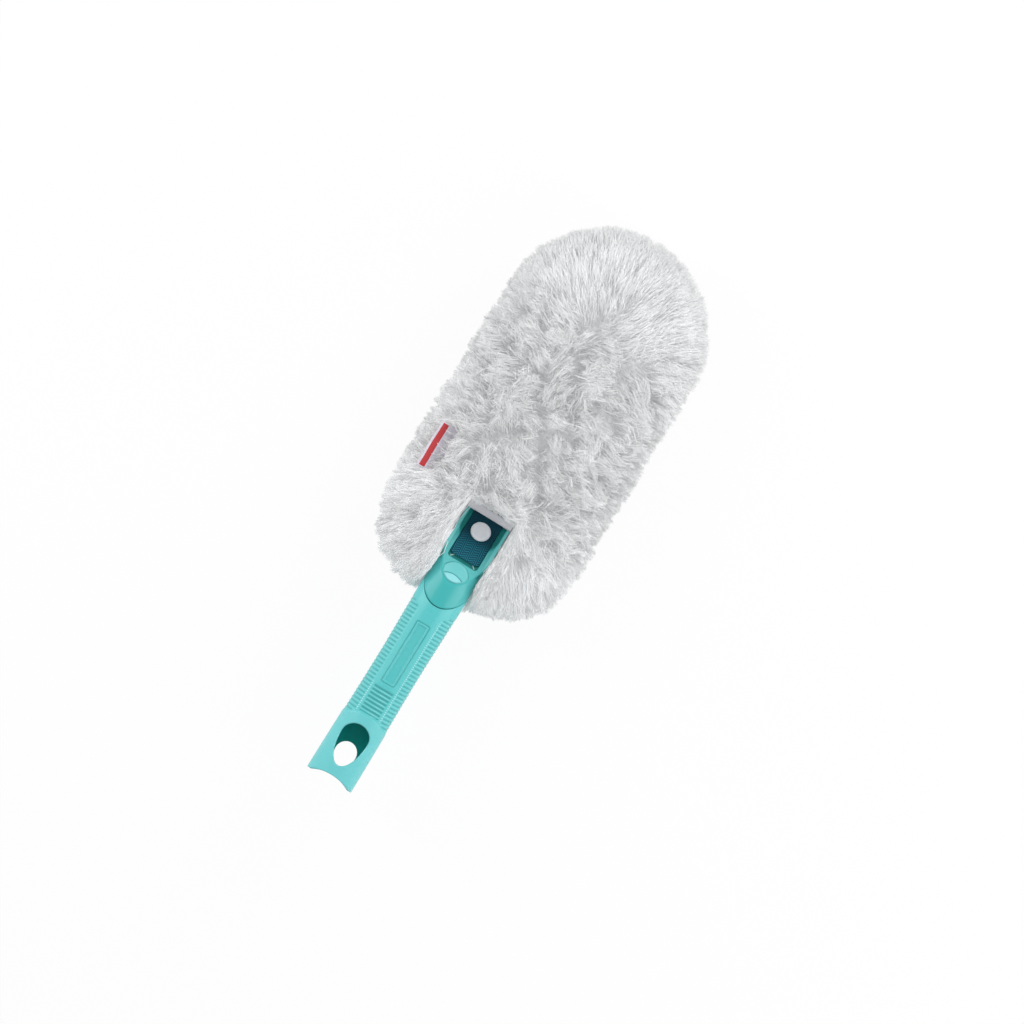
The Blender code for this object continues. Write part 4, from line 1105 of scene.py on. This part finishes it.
def make_hem():
    """Ribbed tape across the mouth of the cover, bound along its lower edge with overlock loops."""
    low = BLADE_Z + SLEEVE_HALF_THICKNESS + 2 * GAP + STRAP_THICKNESS
    turns = turns_round(56)
    rows = []
    for share in np.linspace(-1, 1, 250):
        x = share * HEM_HALF_LENGTH
        rib = 0.5 + 0.5 * math.cos(math.tau * x / HEM_RIB_PITCH)
        end = math.sqrt(max(0.05, 1 - max(0, abs(share) - 0.985) / 0.015))
        y = squared_off(np.cos(turns), 0.5) * HEM_WIDTH / 2
        z = squared_off(np.sin(turns), 0.6) * HEM_THICKNESS / 2 * (0.80 + 0.20 * rib) * end
        rows.append(row(x, HEM_START_Y + HEM_WIDTH / 2 + y * end, low + HEM_THICKNESS / 2 + z))
    hem = ringed_tube("hem_tape", rows)
    settle(hem, 60)
    tape = woven_tape("hem_tape", TAPE_WHITE, (0.87, 0.86, 0.93), 7000)
    finish_piece(hem, tape, "head", "hem_tape", "hem_band")
    bpy.ops.mesh.primitive_torus_add(major_segments=14, minor_segments=6, major_radius=HEM_THICKNESS * 0.62,
                                     minor_radius=0.00022)
    first = named("overlock_loop")
    loop = corners(first) @ np.array([[0.55, 0, 0], [0, 0, 1.0], [0, 1.35, 0]])
    count = int(2 * HEM_HALF_LENGTH / HEM_RIB_PITCH)
    loops = [first]
    for _ in range(count - 1):
        copy = first.copy()
        copy.data = first.data.copy()
        bpy.context.collection.objects.link(copy)
        loops.append(copy)
    for k, piece in enumerate(loops):
        x = (k - (count - 1) / 2) * HEM_RIB_PITCH
        place_corners(piece, loop + np.array([x, HEM_START_Y + 0.0007, low + HEM_THICKNESS / 2]))
    choose(*loops)
    bpy.ops.object.join()
    first.name = first.data.name = "hem_overlock"
    make_outward(first)
    settle(first, 70)
    thread = woven_tape("hem_thread", TAPE_WHITE, (0.84, 0.84, 0.90), 9000)
    finish_piece(first, thread, "head", "hem_tape")


# Side label

def label_place():
    height = HEAD_HALF_DEPTH * math.sqrt(1 - (LABEL_TIP_X / HEAD_HALF_WIDTH) ** 2)
    return Vector((-LABEL_TIP_X, 0, BLADE_Z + height))


def make_label():
    """A ribbon folded over at its outer edge, a little rippled along it."""
    turns = turns_round(120)
    rows = []
    for share in np.linspace(0, 1, 90):
        x = LABEL_REACH / 2 - squared_off(np.cos(turns), 0.35) * LABEL_REACH / 2
        near_end = min(share, 1 - share) * LABEL_LENGTH
        end = math.sqrt(min(1.0, 0.2 + near_end / 0.0006))
        ripple = 0.00035 * math.sin(share * 9.0) * np.exp(-x / 0.006)
        z = squared_off(np.sin(turns), 0.4) * (LABEL_THICKNESS / 2) * end + ripple
        rows.append(row(x, LABEL_LOW_Y + LABEL_LENGTH * share, z))
    label = ringed_tube("side_ribbon", rows)
    x, y, _ = corners(label).T
    band = ease((x - 0.0014) / 0.0002) * ease((0.0062 - x) / 0.0002)
    from_end = np.minimum(y - LABEL_LOW_Y, LABEL_LOW_Y + LABEL_LENGTH - y)
    paint(label, "band", band * ease((from_end - 0.0011) / 0.0002))
    tilted = Matrix.Translation(label_place()) @ Matrix.Rotation(LABEL_TILT, 4, "Y")
    settle(label, 60, ONTO_HANDLE @ tilted)
    finish_piece(label, label_weave(), "head", "label_weave", "side_label")


# Pile

NEAR_CENTRE_Y = HEAD_START_Y + HEAD_HALF_WIDTH
FAR_CENTRE_Y = HEAD_END_Y - HEAD_HALF_WIDTH
# Half sizes of the trimmed outline and of the sleeve inside it
TRIM_SIZE = np.array([HEAD_HALF_WIDTH + LONGEST_TIPS, HEAD_HALF_WIDTH + LONGEST_TIPS, HEAD_HALF_DEPTH])
SLEEVE_SIZE = np.array([SLEEVE_HALF_WIDTH, SLEEVE_HALF_WIDTH, SLEEVE_HALF_THICKNESS])
PAST_HEM_Y = HEM_START_Y + 0.002
OVER_NOTCH_X = NOTCH_HALF_WIDTH + 0.002
FLAT = np.array([1, 1, 0])


def unit(vectors):
    return vectors / np.maximum(np.linalg.norm(vectors, axis=-1, keepdims=True), 1e-12)


def scattered(count, width):
    """Random steps in all directions, with one width for all or one for each."""
    return CHANCE.normal(size=(count, 3)) * np.reshape(width, (-1, 1))


def head_directions(count):
    """Random spots spread evenly over the head: a place on its spine and a direction out of it."""
    spine, way = [], []
    while sum(len(part) for part in spine) < count:
        tries = 4 * count
        straight = FAR_CENTRE_Y - NEAR_CENTRE_Y
        cap_area = 4 * math.pi * HEAD_HALF_WIDTH ** 2
        on_cap = CHANCE.random(tries) < cap_area / (cap_area + math.tau * HEAD_HALF_WIDTH * straight)
        ball = unit(CHANCE.normal(size=(tries, 3)))
        tube = unit(np.where([True, False, True], CHANCE.normal(size=(tries, 3)), 0))
        y = np.where(on_cap, np.where(ball[:, 1] < 0, NEAR_CENTRE_Y, FAR_CENTRE_Y),
                     NEAR_CENTRE_Y + straight * CHANCE.random(tries))
        heading = np.where(on_cap[:, None], ball, tube)
        flat = np.hypot(heading[:, 0], heading[:, 1])
        area = np.hypot(heading[:, 2], flat * HEAD_HALF_DEPTH / HEAD_HALF_WIDTH)
        keep = CHANCE.random(tries) < area ** 0.55 * np.where(heading[:, 2] < 0, 0.75, 1)
        spine.append(y[keep])
        way.append(heading[keep])
    return np.concatenate(spine)[:count], np.concatenate(way)[:count]


def root_spot(spine, way):
    return row(0, spine, BLADE_Z) + way * SLEEVE_SIZE


def trim_distance(way):
    """How far out a spot lies, 1 being the trimmed outline, squarer near the neck and longer on its left."""
    flat = np.hypot(way[:, 0], way[:, 1]) + 1e-9
    across = np.hypot(way[:, 0], way[:, 2])
    along = np.maximum(0, -way[:, 1]) / (1 + LEFT_LOBE * ease(0.5 - 2 * way[:, 0] / flat))
    square = (across ** NEAR_SQUARENESS + along ** NEAR_SQUARENESS) ** (1 / NEAR_SQUARENESS)
    return np.where(way[:, 1] < 0, square, np.linalg.norm(way, axis=1))


def tip_spot(spine, way):
    return row(0, spine, BLADE_Z) + way / trim_distance(way)[:, None] * TRIM_SIZE


def notch_end(z):
    return NOTCH_END_Y + np.maximum(0, z - BLADE_Z) * math.tan(NOTCH_LEAN)


def part_round_neck(paths, from_far, lap):
    """Strands beside the neck are combed off it but lap over its edge, and those past it lean back."""
    x, y, z = paths[..., 0], paths[..., 1], paths[..., 2]
    side = np.where(paths[:, -1:, 0] < 0, -1.0, 1.0)
    out = side * x
    level = np.minimum(scoop_level(y), NECK_RADIUS)
    above = ease((z - level - 0.001) / 0.004)
    past_neck = ease((y - NECK_END_Y - 0.0002) / 0.002) * ease((z + 0.0083) / 0.002)
    beside_round = np.sqrt(NECK_ROOM_RADIUS ** 2 - np.clip(np.minimum(z, level), 0, 0.0100) ** 2)
    limit = beside_round - lap[:, None] * above * (1 - past_neck) - 0.0050 * past_neck
    reach = limit + 0.012
    combed = limit + 0.012 * np.clip(out / reach, 0, 1) ** 1.3
    edge = notch_end(z)
    near = ease((edge + 0.004 - y) / 0.005) * ease((z - NECK_UNDERSIDE + 0.004) / 0.004)
    beside = (out < reach) & ~from_far[:, None]
    x_new = np.where(beside, side * (out + (combed - out) * near), x)
    over = from_far[:, None] & (np.abs(x) < OVER_NOTCH_X) & (y < edge)
    y_new = np.where(over, edge + (edge - y) * 0.18, y)
    return np.stack([x_new, y_new, z], axis=-1)


def on_label(paths):
    """Whether a strand passes in front of or through the part of the label that shows."""
    cosine, sine = math.cos(LABEL_TILT), math.sin(LABEL_TILT)
    offset = paths - np.array(label_place())
    along, above = offset @ np.array([cosine, 0, -sine]), offset @ np.array([sine, 0, cosine])
    y = paths[..., 1] - LABEL_LOW_Y
    inside = (along > -0.001) & (along < LABEL_SHOWN) & (above > -0.002)
    return (inside & (y > 0.001) & (y < LABEL_LENGTH - 0.0005)).any(axis=1)


def nearest(points, centres, chunk=4000):
    found = np.empty(len(points), dtype=int)
    for start in range(0, len(points), chunk):
        part = points[start:start + chunk]
        gap = ((part[:, None, :] - centres[None, :, :]) ** 2).sum(axis=2)
        found[start:start + chunk] = gap.argmin(axis=1)
    return found


def trimmed(spots, room):
    """Bring spots outside the head's trimmed outline back onto it, less each one's own room."""
    spine = np.clip(spots[:, 1], NEAR_CENTRE_Y, FAR_CENTRE_Y)
    offset = spots - row(0, spine, BLADE_Z)
    size = trim_distance(offset / TRIM_SIZE)
    share = np.minimum(1, (1 - room) / np.maximum(size, 0.001))
    return spots - offset * (1 - share)[:, None]


def steady(way):
    """1 at the rim, where the pile stands straight out, falling to 0 where it lies over."""
    return ease(1.15 - np.abs(way[:, 2]) * (1.35 - 0.45 * np.clip(way[:, 1], 0, 1)))


def calm(spots):
    """1 at the far end, where the pile is combed out evenly, falling to 0 before the middle."""
    return ease((spots[:, 1] - FAR_CENTRE_Y + 0.030) / 0.050)


def grow_tufts():
    """Each tuft's tip, how its strands lie over, and how much it is trimmed."""
    spine, way = head_directions(TUFT_COUNT)
    tip = tip_spot(spine, way)
    axis = unit(tip - root_spot(spine, way))
    stiff, even = steady(way), calm(tip)
    outward = unit(way * FLAT + 1e-6)
    combed = unit((tip - np.array([0, FAR_CENTRE_Y - 0.045, 0])) * FLAT)
    flat = np.hypot(way[:, 0], way[:, 1])
    lie = unit(CHANCE.normal(size=(TUFT_COUNT, 3))) * ((1 - 0.6 * flat) * (1 - 0.9 * even))[:, None]
    fanned = unit((tip - np.array([0, NEAR_CENTRE_Y + 0.025, 0])) * FLAT)
    fan = ease((NEAR_CENTRE_Y + 0.010 - tip[:, 1]) / 0.030)
    lie = lie * (1 - 0.5 * fan)[:, None] + fanned * fan[:, None]
    lie = lie + outward * (1.5 * flat)[:, None] + combed * even[:, None]
    lie = unit(lie - axis * (lie * axis).sum(axis=1, keepdims=True))
    length = CHANCE.uniform(0.55, 1.05, TUFT_COUNT) * (1 - even) + 0.95 * even
    reach = TUFT_LIE * (1 - 0.93 * stiff) * length * (1 + 0.5 * fan)
    trim = (0.100 - 0.09 * np.maximum(stiff, even)) * CHANCE.random(TUFT_COUNT)
    return tip, lie * reach[:, None], trim


def grow_strands():
    """Strands gather into clumps, and clumps lie over together as tufts.

    Gives the strands' paths, their shades, how stout they are and whether they are on the front.
    """
    tuft_tip, tuft_lie, tuft_trim = grow_tufts()
    spine, clump_way = head_directions(CLUMP_COUNT)
    clump_tip, clump_root = tip_spot(spine, clump_way), root_spot(spine, clump_way)
    tuft = nearest(clump_tip, tuft_tip)
    stiff, even = steady(clump_way), calm(clump_tip)
    settled = np.maximum(stiff, even)
    under = (CHANCE.random(CLUMP_COUNT) < UNDERCOAT) & (stiff < 0.5)
    free = np.where(under, 0.25, 1.0)
    gather = ((0.19 - 0.07 * stiff) * (1 - 0.9 * even) * free)[:, None]
    turn = 1 + scattered(CLUMP_COUNT, 0.40 - 0.30 * even)
    clump_knee = clump_tip + (tuft_tip[tuft] - clump_tip) * gather * 0.5
    clump_knee = clump_root + (clump_knee - clump_root) * (1.0 - 0.40 * stiff)[:, None]
    clump_end = clump_tip + tuft_lie[tuft] * turn * free[:, None] + (tuft_tip[tuft] - clump_tip) * gather
    clump_end += scattered(CLUMP_COUNT, 0.0016 - 0.0010 * settled)
    clump_end = clump_root + (clump_end - clump_root) * (1 - tuft_trim[tuft] - 0.10 * under)[:, None]
    rim_room = CHANCE.uniform(0.0, 0.026, TUFT_COUNT)[tuft] + CHANCE.uniform(-0.018, 0.026, CLUMP_COUNT)
    clump_room = 0.055 * CHANCE.random(CLUMP_COUNT)
    clump_room += (rim_room - clump_room) * settled
    clump_end = trimmed(clump_end, clump_room)
    edge = notch_end(clump_end[:, 2]) + 0.0010
    past_hem = clump_root[:, 1] > PAST_HEM_Y
    over = past_hem & (np.abs(clump_end[:, 0]) < OVER_NOTCH_X) & (clump_end[:, 1] < edge)
    over &= clump_end[:, 2] > BLADE_Z
    clump_end[over, 1] = (edge + np.abs(CHANCE.normal(size=CLUMP_COUNT)) * 0.0040)[over]
    clump_knee[over, 1] = np.maximum(clump_knee[over, 1], edge[over] + 0.0010)
    clump_hold = CHANCE.uniform(0.05, 0.55, CLUMP_COUNT) * (1 - 0.8 * even)
    clump_width = CHANCE.uniform(0.0016, 0.0030, CLUMP_COUNT) * (1 + 0.5 * even) * (1 - 0.55 * stiff)

    count = CLUMP_COUNT * STRANDS_PER_CLUMP
    clump = np.repeat(np.arange(CLUMP_COUNT), STRANDS_PER_CLUMP)
    spread = scattered(count, clump_width[clump])
    bow = scattered(count, 0.0009)
    clump_bow = scattered(CLUMP_COUNT, 0.0016 - 0.0012 * settled)
    shorten = 1 - np.abs(CHANCE.normal(size=count)) * (0.030 - 0.022 * settled[clump])
    paths = np.empty((count, 4, 3))
    root, knee, end = clump_root[clump], clump_knee[clump], clump_end[clump]
    for k, share in enumerate((0.0, 0.48, 0.94, 1.0)):
        step = STRAND_SHOWN_FROM + (1 - STRAND_SHOWN_FROM) * share
        t = step * shorten[:, None]
        hold = 1 - clump_hold[clump][:, None] * step ** 1.5
        arch = 4 * step * (1 - step)
        paths[:, k] = bend(root, knee, end, t) + spread * hold + bow * arch
        paths[:, k] += clump_bow[clump] * math.sin(step * 7)
    room = clump_room[clump] * 0.9 + 0.006 * CHANCE.random(count)
    past_trim = paths[:, -1] - trimmed(paths[:, -1], room)
    paths -= past_trim[:, None, :] * np.array([0, 0.5, 0.95, 1])[None, :, None]

    in_front = clump_way[clump][:, 2] > 0
    from_far = past_hem[clump]
    kept = from_far | (np.abs(paths[:, -1, 0]) >= NOTCH_HALF_WIDTH * 0.55) | ~in_front
    sides = neck_side_strands()
    paths = np.concatenate([paths[kept], sides])
    from_far = np.concatenate([from_far[kept], np.zeros(len(sides), bool)])
    front = np.concatenate([in_front[kept], np.ones(len(sides), bool)])
    paths = part_round_neck(paths, from_far, 0.0030 * CHANCE.random(len(paths)) ** 2)
    paths[..., 2] = np.maximum(paths[..., 2], 0.0006 - HANDLE.z)
    shown = ~on_label(paths)
    # Random tones for each tuft and clump, with painted shade on the undercoat and the rim and painted light
    # at the far and near ends
    tone = (CHANCE.normal(size=TUFT_COUNT) * 0.13)[tuft]
    tone = tone + CHANCE.normal(size=CLUMP_COUNT) * (0.06 + 0.10 * stiff) - 0.10 * under
    near_end = ease((NEAR_CENTRE_Y + 0.010 - clump_tip[:, 1]) / 0.040)
    tone = tone * (1 - 0.85 * even) + 0.28 * even + 0.30 * near_end - (0.26 + 0.34 * even) * stiff
    shade = 0.55 + np.concatenate([tone[clump][kept], CHANCE.normal(size=len(sides)) * 0.08])
    shade = np.clip(shade + CHANCE.normal(size=len(paths)) * 0.05, 0, 1)
    stout = 1 + 0.35 * np.concatenate([stiff[clump][kept], np.zeros(len(sides))])
    return paths[shown], shade[shown], stout[shown], front[shown]


def bend(root, knee, end, t):
    """A place along strands that leave their roots towards a knee and turn from there to their ends."""
    return root * (1 - t) ** 2 + knee * 2 * t * (1 - t) + end * t ** 2


def bent_clumps(root, knee, end, per_clump, spread, scatter):
    """Clumps of strands bent once, each strand with an offset that fades towards its scattered tip."""
    clump = np.repeat(np.arange(len(root)), per_clump)
    offset = CHANCE.normal(size=(len(clump), 3)) * spread
    tip = end[clump] + CHANCE.normal(size=(len(clump), 3)) * scatter
    return np.stack([bend(root[clump], knee[clump], tip, t) + offset * (1 - 0.6 * t)
                     for t in (0.0, 0.46, 0.92, 1.0)], axis=1)


def mouth_fringe():
    """Strands that hang over the hem from the pile behind it, swept to either side in small clumps."""
    clumps = FRINGE_CLUMPS
    level = CHANCE.random(clumps) ** 0.8
    x = CHANCE.uniform(-1, 1, clumps) * OVER_NOTCH_X
    lowest = BLADE_Z + SLEEVE_HALF_THICKNESS + STRAP_THICKNESS + HEM_THICKNESS + 3 * GAP + 0.0002
    root_z = lowest - 0.002 + 0.026 * level
    root = row(x, NOTCH_END_Y + CHANCE.uniform(0.0040, 0.0100, clumps), root_z)
    sweep = CHANCE.normal(size=clumps) * 0.0065
    knee = row(x + sweep * 0.35, NOTCH_END_Y + CHANCE.uniform(0.0005, 0.0040, clumps),
               root_z + CHANCE.uniform(0.002, 0.007, clumps))
    end_y = NOTCH_END_Y - 0.0012 + np.abs(CHANCE.normal(size=clumps)) * 0.0034
    end = row(x + sweep, end_y, root_z + CHANCE.uniform(-0.003, 0.004, clumps))
    paths = bent_clumps(root, knee, end, FRINGE_PER_CLUMP, (0.0016, 0.0012, 0.0012), (0.0008, 0.0005, 0.0004))
    paths[..., 2] = np.maximum(paths[..., 2], lowest)
    lifted_cap = NOTCH_END_Y - 0.0022 + (paths[..., 2] - lowest) * 0.33
    lifted_cap = lifted_cap + np.abs(CHANCE.normal(size=(len(paths), 1))) * 0.0012
    in_way = np.abs(paths[..., 0]) < CAP_RADIUS + 0.0022
    paths[..., 1] = np.where(in_way, np.maximum(paths[..., 1], lifted_cap), paths[..., 1])
    return paths


def neck_side_strands():
    """Strands that fan off the cover's mouth along both sides of the neck."""
    clumps = SIDE_CLUMPS
    side = np.where(CHANCE.random(clumps) < 0.5, -1.0, 1.0)
    start = 0.158 + 0.068 * CHANCE.random(clumps) ** 1.2
    depth = CHANCE.random(clumps) ** 0.7
    root = row(side * (NOTCH_HALF_WIDTH + 0.0015 + 0.004 * CHANCE.random(clumps)), start + 0.014,
               BLADE_Z + 0.002 + 0.006 * depth)
    fan = 0.0002 + 0.014 * CHANCE.random(clumps) ** 2
    reach = CHANCE.uniform(0.008, 0.026, clumps)
    lobe = 1 + LEFT_LOBE * (side < 0)
    lowest = NEAR_CENTRE_Y - HEAD_HALF_WIDTH * lobe
    end_y = np.maximum(start + 0.014 - reach, lowest + 0.002 + CHANCE.random(clumps) * 0.004)
    end_x = NOTCH_HALF_WIDTH + fan
    below = np.clip((NEAR_CENTRE_Y - end_y) / HEAD_HALF_WIDTH / lobe, 0, 1)
    across = (1 - below ** NEAR_SQUARENESS) ** (2 / NEAR_SQUARENESS)
    top = BLADE_Z + HEAD_HALF_DEPTH * np.sqrt(np.maximum(across - (end_x / HEAD_HALF_WIDTH) ** 2, 0.02))
    end_z = BLADE_Z + 0.004 + (top - BLADE_Z - 0.004) * (0.50 + 0.48 * depth)
    end = row(side * end_x, end_y, end_z)
    knee = row(side * (NOTCH_HALF_WIDTH + 0.0008 + fan * 0.2), start + 0.010 - reach * 0.2,
               root[:, 2] + (end_z - root[:, 2]) * 0.85)
    return bent_clumps(root, knee, end, SIDE_PER_CLUMP, 0.0013, 0.0016)


def strand_piece(name, paths, shades, stout, material, *nodes):
    """Closed three-sided strands that run down to a point, as one mesh."""
    count, steps, _ = paths.shape
    rings = steps - 1
    tangent = unit(np.gradient(paths, axis=1))
    side = unit(np.cross(tangent, unit(CHANCE.normal(size=(count, 1, 3)))))
    over = np.cross(tangent, side)
    width = STRAND_RADIUS * np.array([1.0, 0.95, 0.75]) * CHANCE.uniform(0.75, 1.25, (count, 1))
    width = width * stout[:, None]
    turns = np.arange(3) * math.tau / 3
    ring = (np.cos(turns)[None, None, :, None] * side[:, :rings, None, :]
            + np.sin(turns)[None, None, :, None] * over[:, :rings, None, :])
    body = paths[:, :rings, None, :] + ring * width[:, :, None, None]
    spots = np.concatenate([body.reshape(count, rings * 3, 3), paths[:, -1:, :]], axis=1)
    per = rings * 3 + 1
    faces = [[low + k, low + (k + 1) % 3, low + 3 + (k + 1) % 3, low + 3 + k]
             for low in range(0, rings * 3 - 3, 3) for k in range(3)]
    faces += [[per - 4 + k, per - 4 + (k + 1) % 3, per - 1] for k in range(3)] + [[2, 1, 0]]
    pattern = np.concatenate(faces)
    starts = np.concatenate([[0], np.cumsum([len(face) for face in faces])[:-1]])
    strand = np.arange(count)[:, None]
    mesh = bpy.data.meshes.new(name)
    mesh.vertices.add(count * per)
    mesh.vertices.foreach_set("co", spots.ravel().astype(np.float32))
    mesh.loops.add(count * len(pattern))
    mesh.loops.foreach_set("vertex_index", (pattern + strand * per).ravel().astype(np.int32))
    mesh.polygons.add(count * len(starts))
    mesh.polygons.foreach_set("loop_start", (starts + strand * len(pattern)).ravel().astype(np.int32))
    mesh.update(calc_edges=True)
    mesh.validate()
    piece = bpy.data.objects.new(name, mesh)
    bpy.context.collection.objects.link(piece)
    # Painted shade: each strand darker towards its root, its tip a little lighter
    tone = np.array([0.0, 0.45, 0.85]) * 0.40 + (shades[:, None] - 0.5) * 1.2 + 0.30
    tone = np.concatenate([np.repeat(tone, 3, axis=1), tone[:, -1:] + 0.05], axis=1)
    paint(piece, "shade", np.clip(tone, 0, 1).ravel())
    mesh.polygons.foreach_set("use_smooth", np.ones(len(mesh.polygons), dtype=bool))
    move(piece, ONTO_HANDLE)
    finish_piece(piece, material, "head", "front_pile" if "front" in name else "back_pile", *nodes)


def make_pile():
    paths, shades, stout, front = grow_strands()
    material = microfibre()
    for name, chosen, node in (("front", front, "pile_front"), ("back", ~front, "pile_back")):
        order = np.flatnonzero(chosen)
        order = order[np.argsort(paths[order, -1, 1], kind="stable")]
        for k, part in enumerate(np.array_split(order, math.ceil(len(order) / STRANDS_PER_PIECE))):
            replaced = [node] if k == 0 else []
            strand_piece(f"pile_{name}_{k + 1}", paths[part], shades[part], stout[part], material, *replaced)
    fringe = mouth_fringe()
    shades = np.clip(0.6 + CHANCE.normal(size=len(fringe)) * 0.15, 0, 1)
    strand_piece("pile_front_fringe", fringe, shades, np.ones(len(fringe)), material)


def make_pile_base():
    """The dense root of the pile, which no gap between tufts sees past."""
    bpy.ops.mesh.primitive_uv_sphere_add(segments=72, ring_count=48, radius=1)
    base = named("pile_base")
    heading = corners(base)
    x, y, z = heading.T
    spine = NEAR_CENTRE_Y + (FAR_CENTRE_Y - NEAR_CENTRE_Y) * ease((y + 0.25) / 0.5)
    half = np.array([HEAD_HALF_WIDTH * 0.78, HEAD_HALF_WIDTH * 0.78, HEAD_HALF_DEPTH * 0.64])
    ripple = 1 + 0.03 * np.sin(x * 23 + y * 17) * np.sin(z * 19 - y * 11)
    place_corners(base, heading * half * ripple[:, None] + row(0, spine, BLADE_Z))
    make_outward(base)
    bed = 0.0006
    stadium = arc((0, SLEEVE_START_Y + SLEEVE_HALF_WIDTH), SLEEVE_HALF_WIDTH + bed, math.pi, math.tau, 32)
    stadium += arc((0, SLEEVE_END_Y - SLEEVE_HALF_WIDTH), SLEEVE_HALF_WIDTH + bed, 0, math.pi, 32)
    half_bed = SLEEVE_HALF_THICKNESS + bed
    cut(base, outline_prism("bed_tool", stadium, BLADE_Z - half_bed, BLADE_Z + half_bed))
    cut(base, box_tool("neck_room_tool", (-NOTCH_HALF_WIDTH, 0, NECK_UNDERSIDE),
                       (NOTCH_HALF_WIDTH, NOTCH_END_Y + 0.0030, 0.1)))
    cut(base, box_tool("tail_room_tool", (-0.012, NOTCH_END_Y - 0.003, BLADE_Z),
                       (0.012, TAIL_END_Y + 0.001, -0.0098)))
    settle(base, 60)
    finish_piece(base, pile_base(), "head", "front_pile")


# Setting

def make_floor():
    bpy.ops.mesh.primitive_plane_add(size=6, location=(0, 0, 0))
    floor = named("studio_floor")
    finish = Finish("studio_paper", (0.92, 0.92, 0.92), 0.9)
    tree = finish.tree
    glow = finish.node("ShaderNodeEmission", {}, {"Color": (1, 1, 1, 1), "Strength": 1.0})
    seen = finish.node("ShaderNodeLightPath", {}, {}, "Is Camera Ray")
    paper = Socket(finish, finish.shader.outputs[0])
    surface = finish.node("ShaderNodeMixShader", {}, {0: seen * FLOOR_GLOW, 1: paper, 2: glow})
    tree.links.new(surface.socket, tree.nodes["Material Output"].inputs["Surface"])
    floor.data.materials.append(finish.material)


def add_lamp(name, place, target, size, power):
    lamp = bpy.data.lights.new(name, "AREA")
    lamp.shape = "RECTANGLE"
    lamp.size, lamp.size_y = size
    lamp.energy = power
    holder = bpy.data.objects.new(name, lamp)
    bpy.context.collection.objects.link(holder)
    holder.location = place
    holder.rotation_euler = (Vector(target) - Vector(place)).to_track_quat("-Z", "Y").to_euler()


def light_and_camera():
    scene = bpy.context.scene
    world = bpy.data.worlds.new("studio")
    world.use_nodes = True
    scene.world = world
    sky = world.node_tree.nodes["Background"]
    sky.inputs["Color"].default_value = (1, 1, 1, 1)
    sky.inputs["Strength"].default_value = SKY_STRENGTH
    for softbox in SOFTBOXES:
        add_lamp(*softbox)
    camera = bpy.data.cameras.new("photo_camera")
    camera.lens = LENS
    camera.sensor_width = SENSOR
    holder = bpy.data.objects.new("photo_camera", camera)
    scene.collection.objects.link(holder)
    holder.location = (*PHOTO_MIDDLE, HANDLE.z + PHOTO_WIDTH * LENS / SENSOR)
    holder.rotation_euler = (0, 0, PHOTO_TURN)
    scene.camera = holder
    scene.view_settings.view_transform = "Standard"


def dress_hidden_pieces():
    """The solids that stay as they are get the finish of the real ones."""
    finishes = {"paddle_blade": blade_plastic(), "snap_socket": snap_plastic(), "snap_stud": snap_plastic(),
                "cover_sleeve": plain_cloth("sleeve_cloth", (0.70, 0.71, 0.72), (0.82, 0.83, 0.84))}
    for node, material in finishes.items():
        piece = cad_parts[node]
        piece.data.materials.clear()
        piece.data.materials.append(material)


make_grip()
make_neck()
make_thumb_pad()
make_strap()
make_snap_cap()
make_hem()
make_label()
make_pile_base()
make_pile()
dress_hidden_pieces()
make_floor()
light_and_camera()
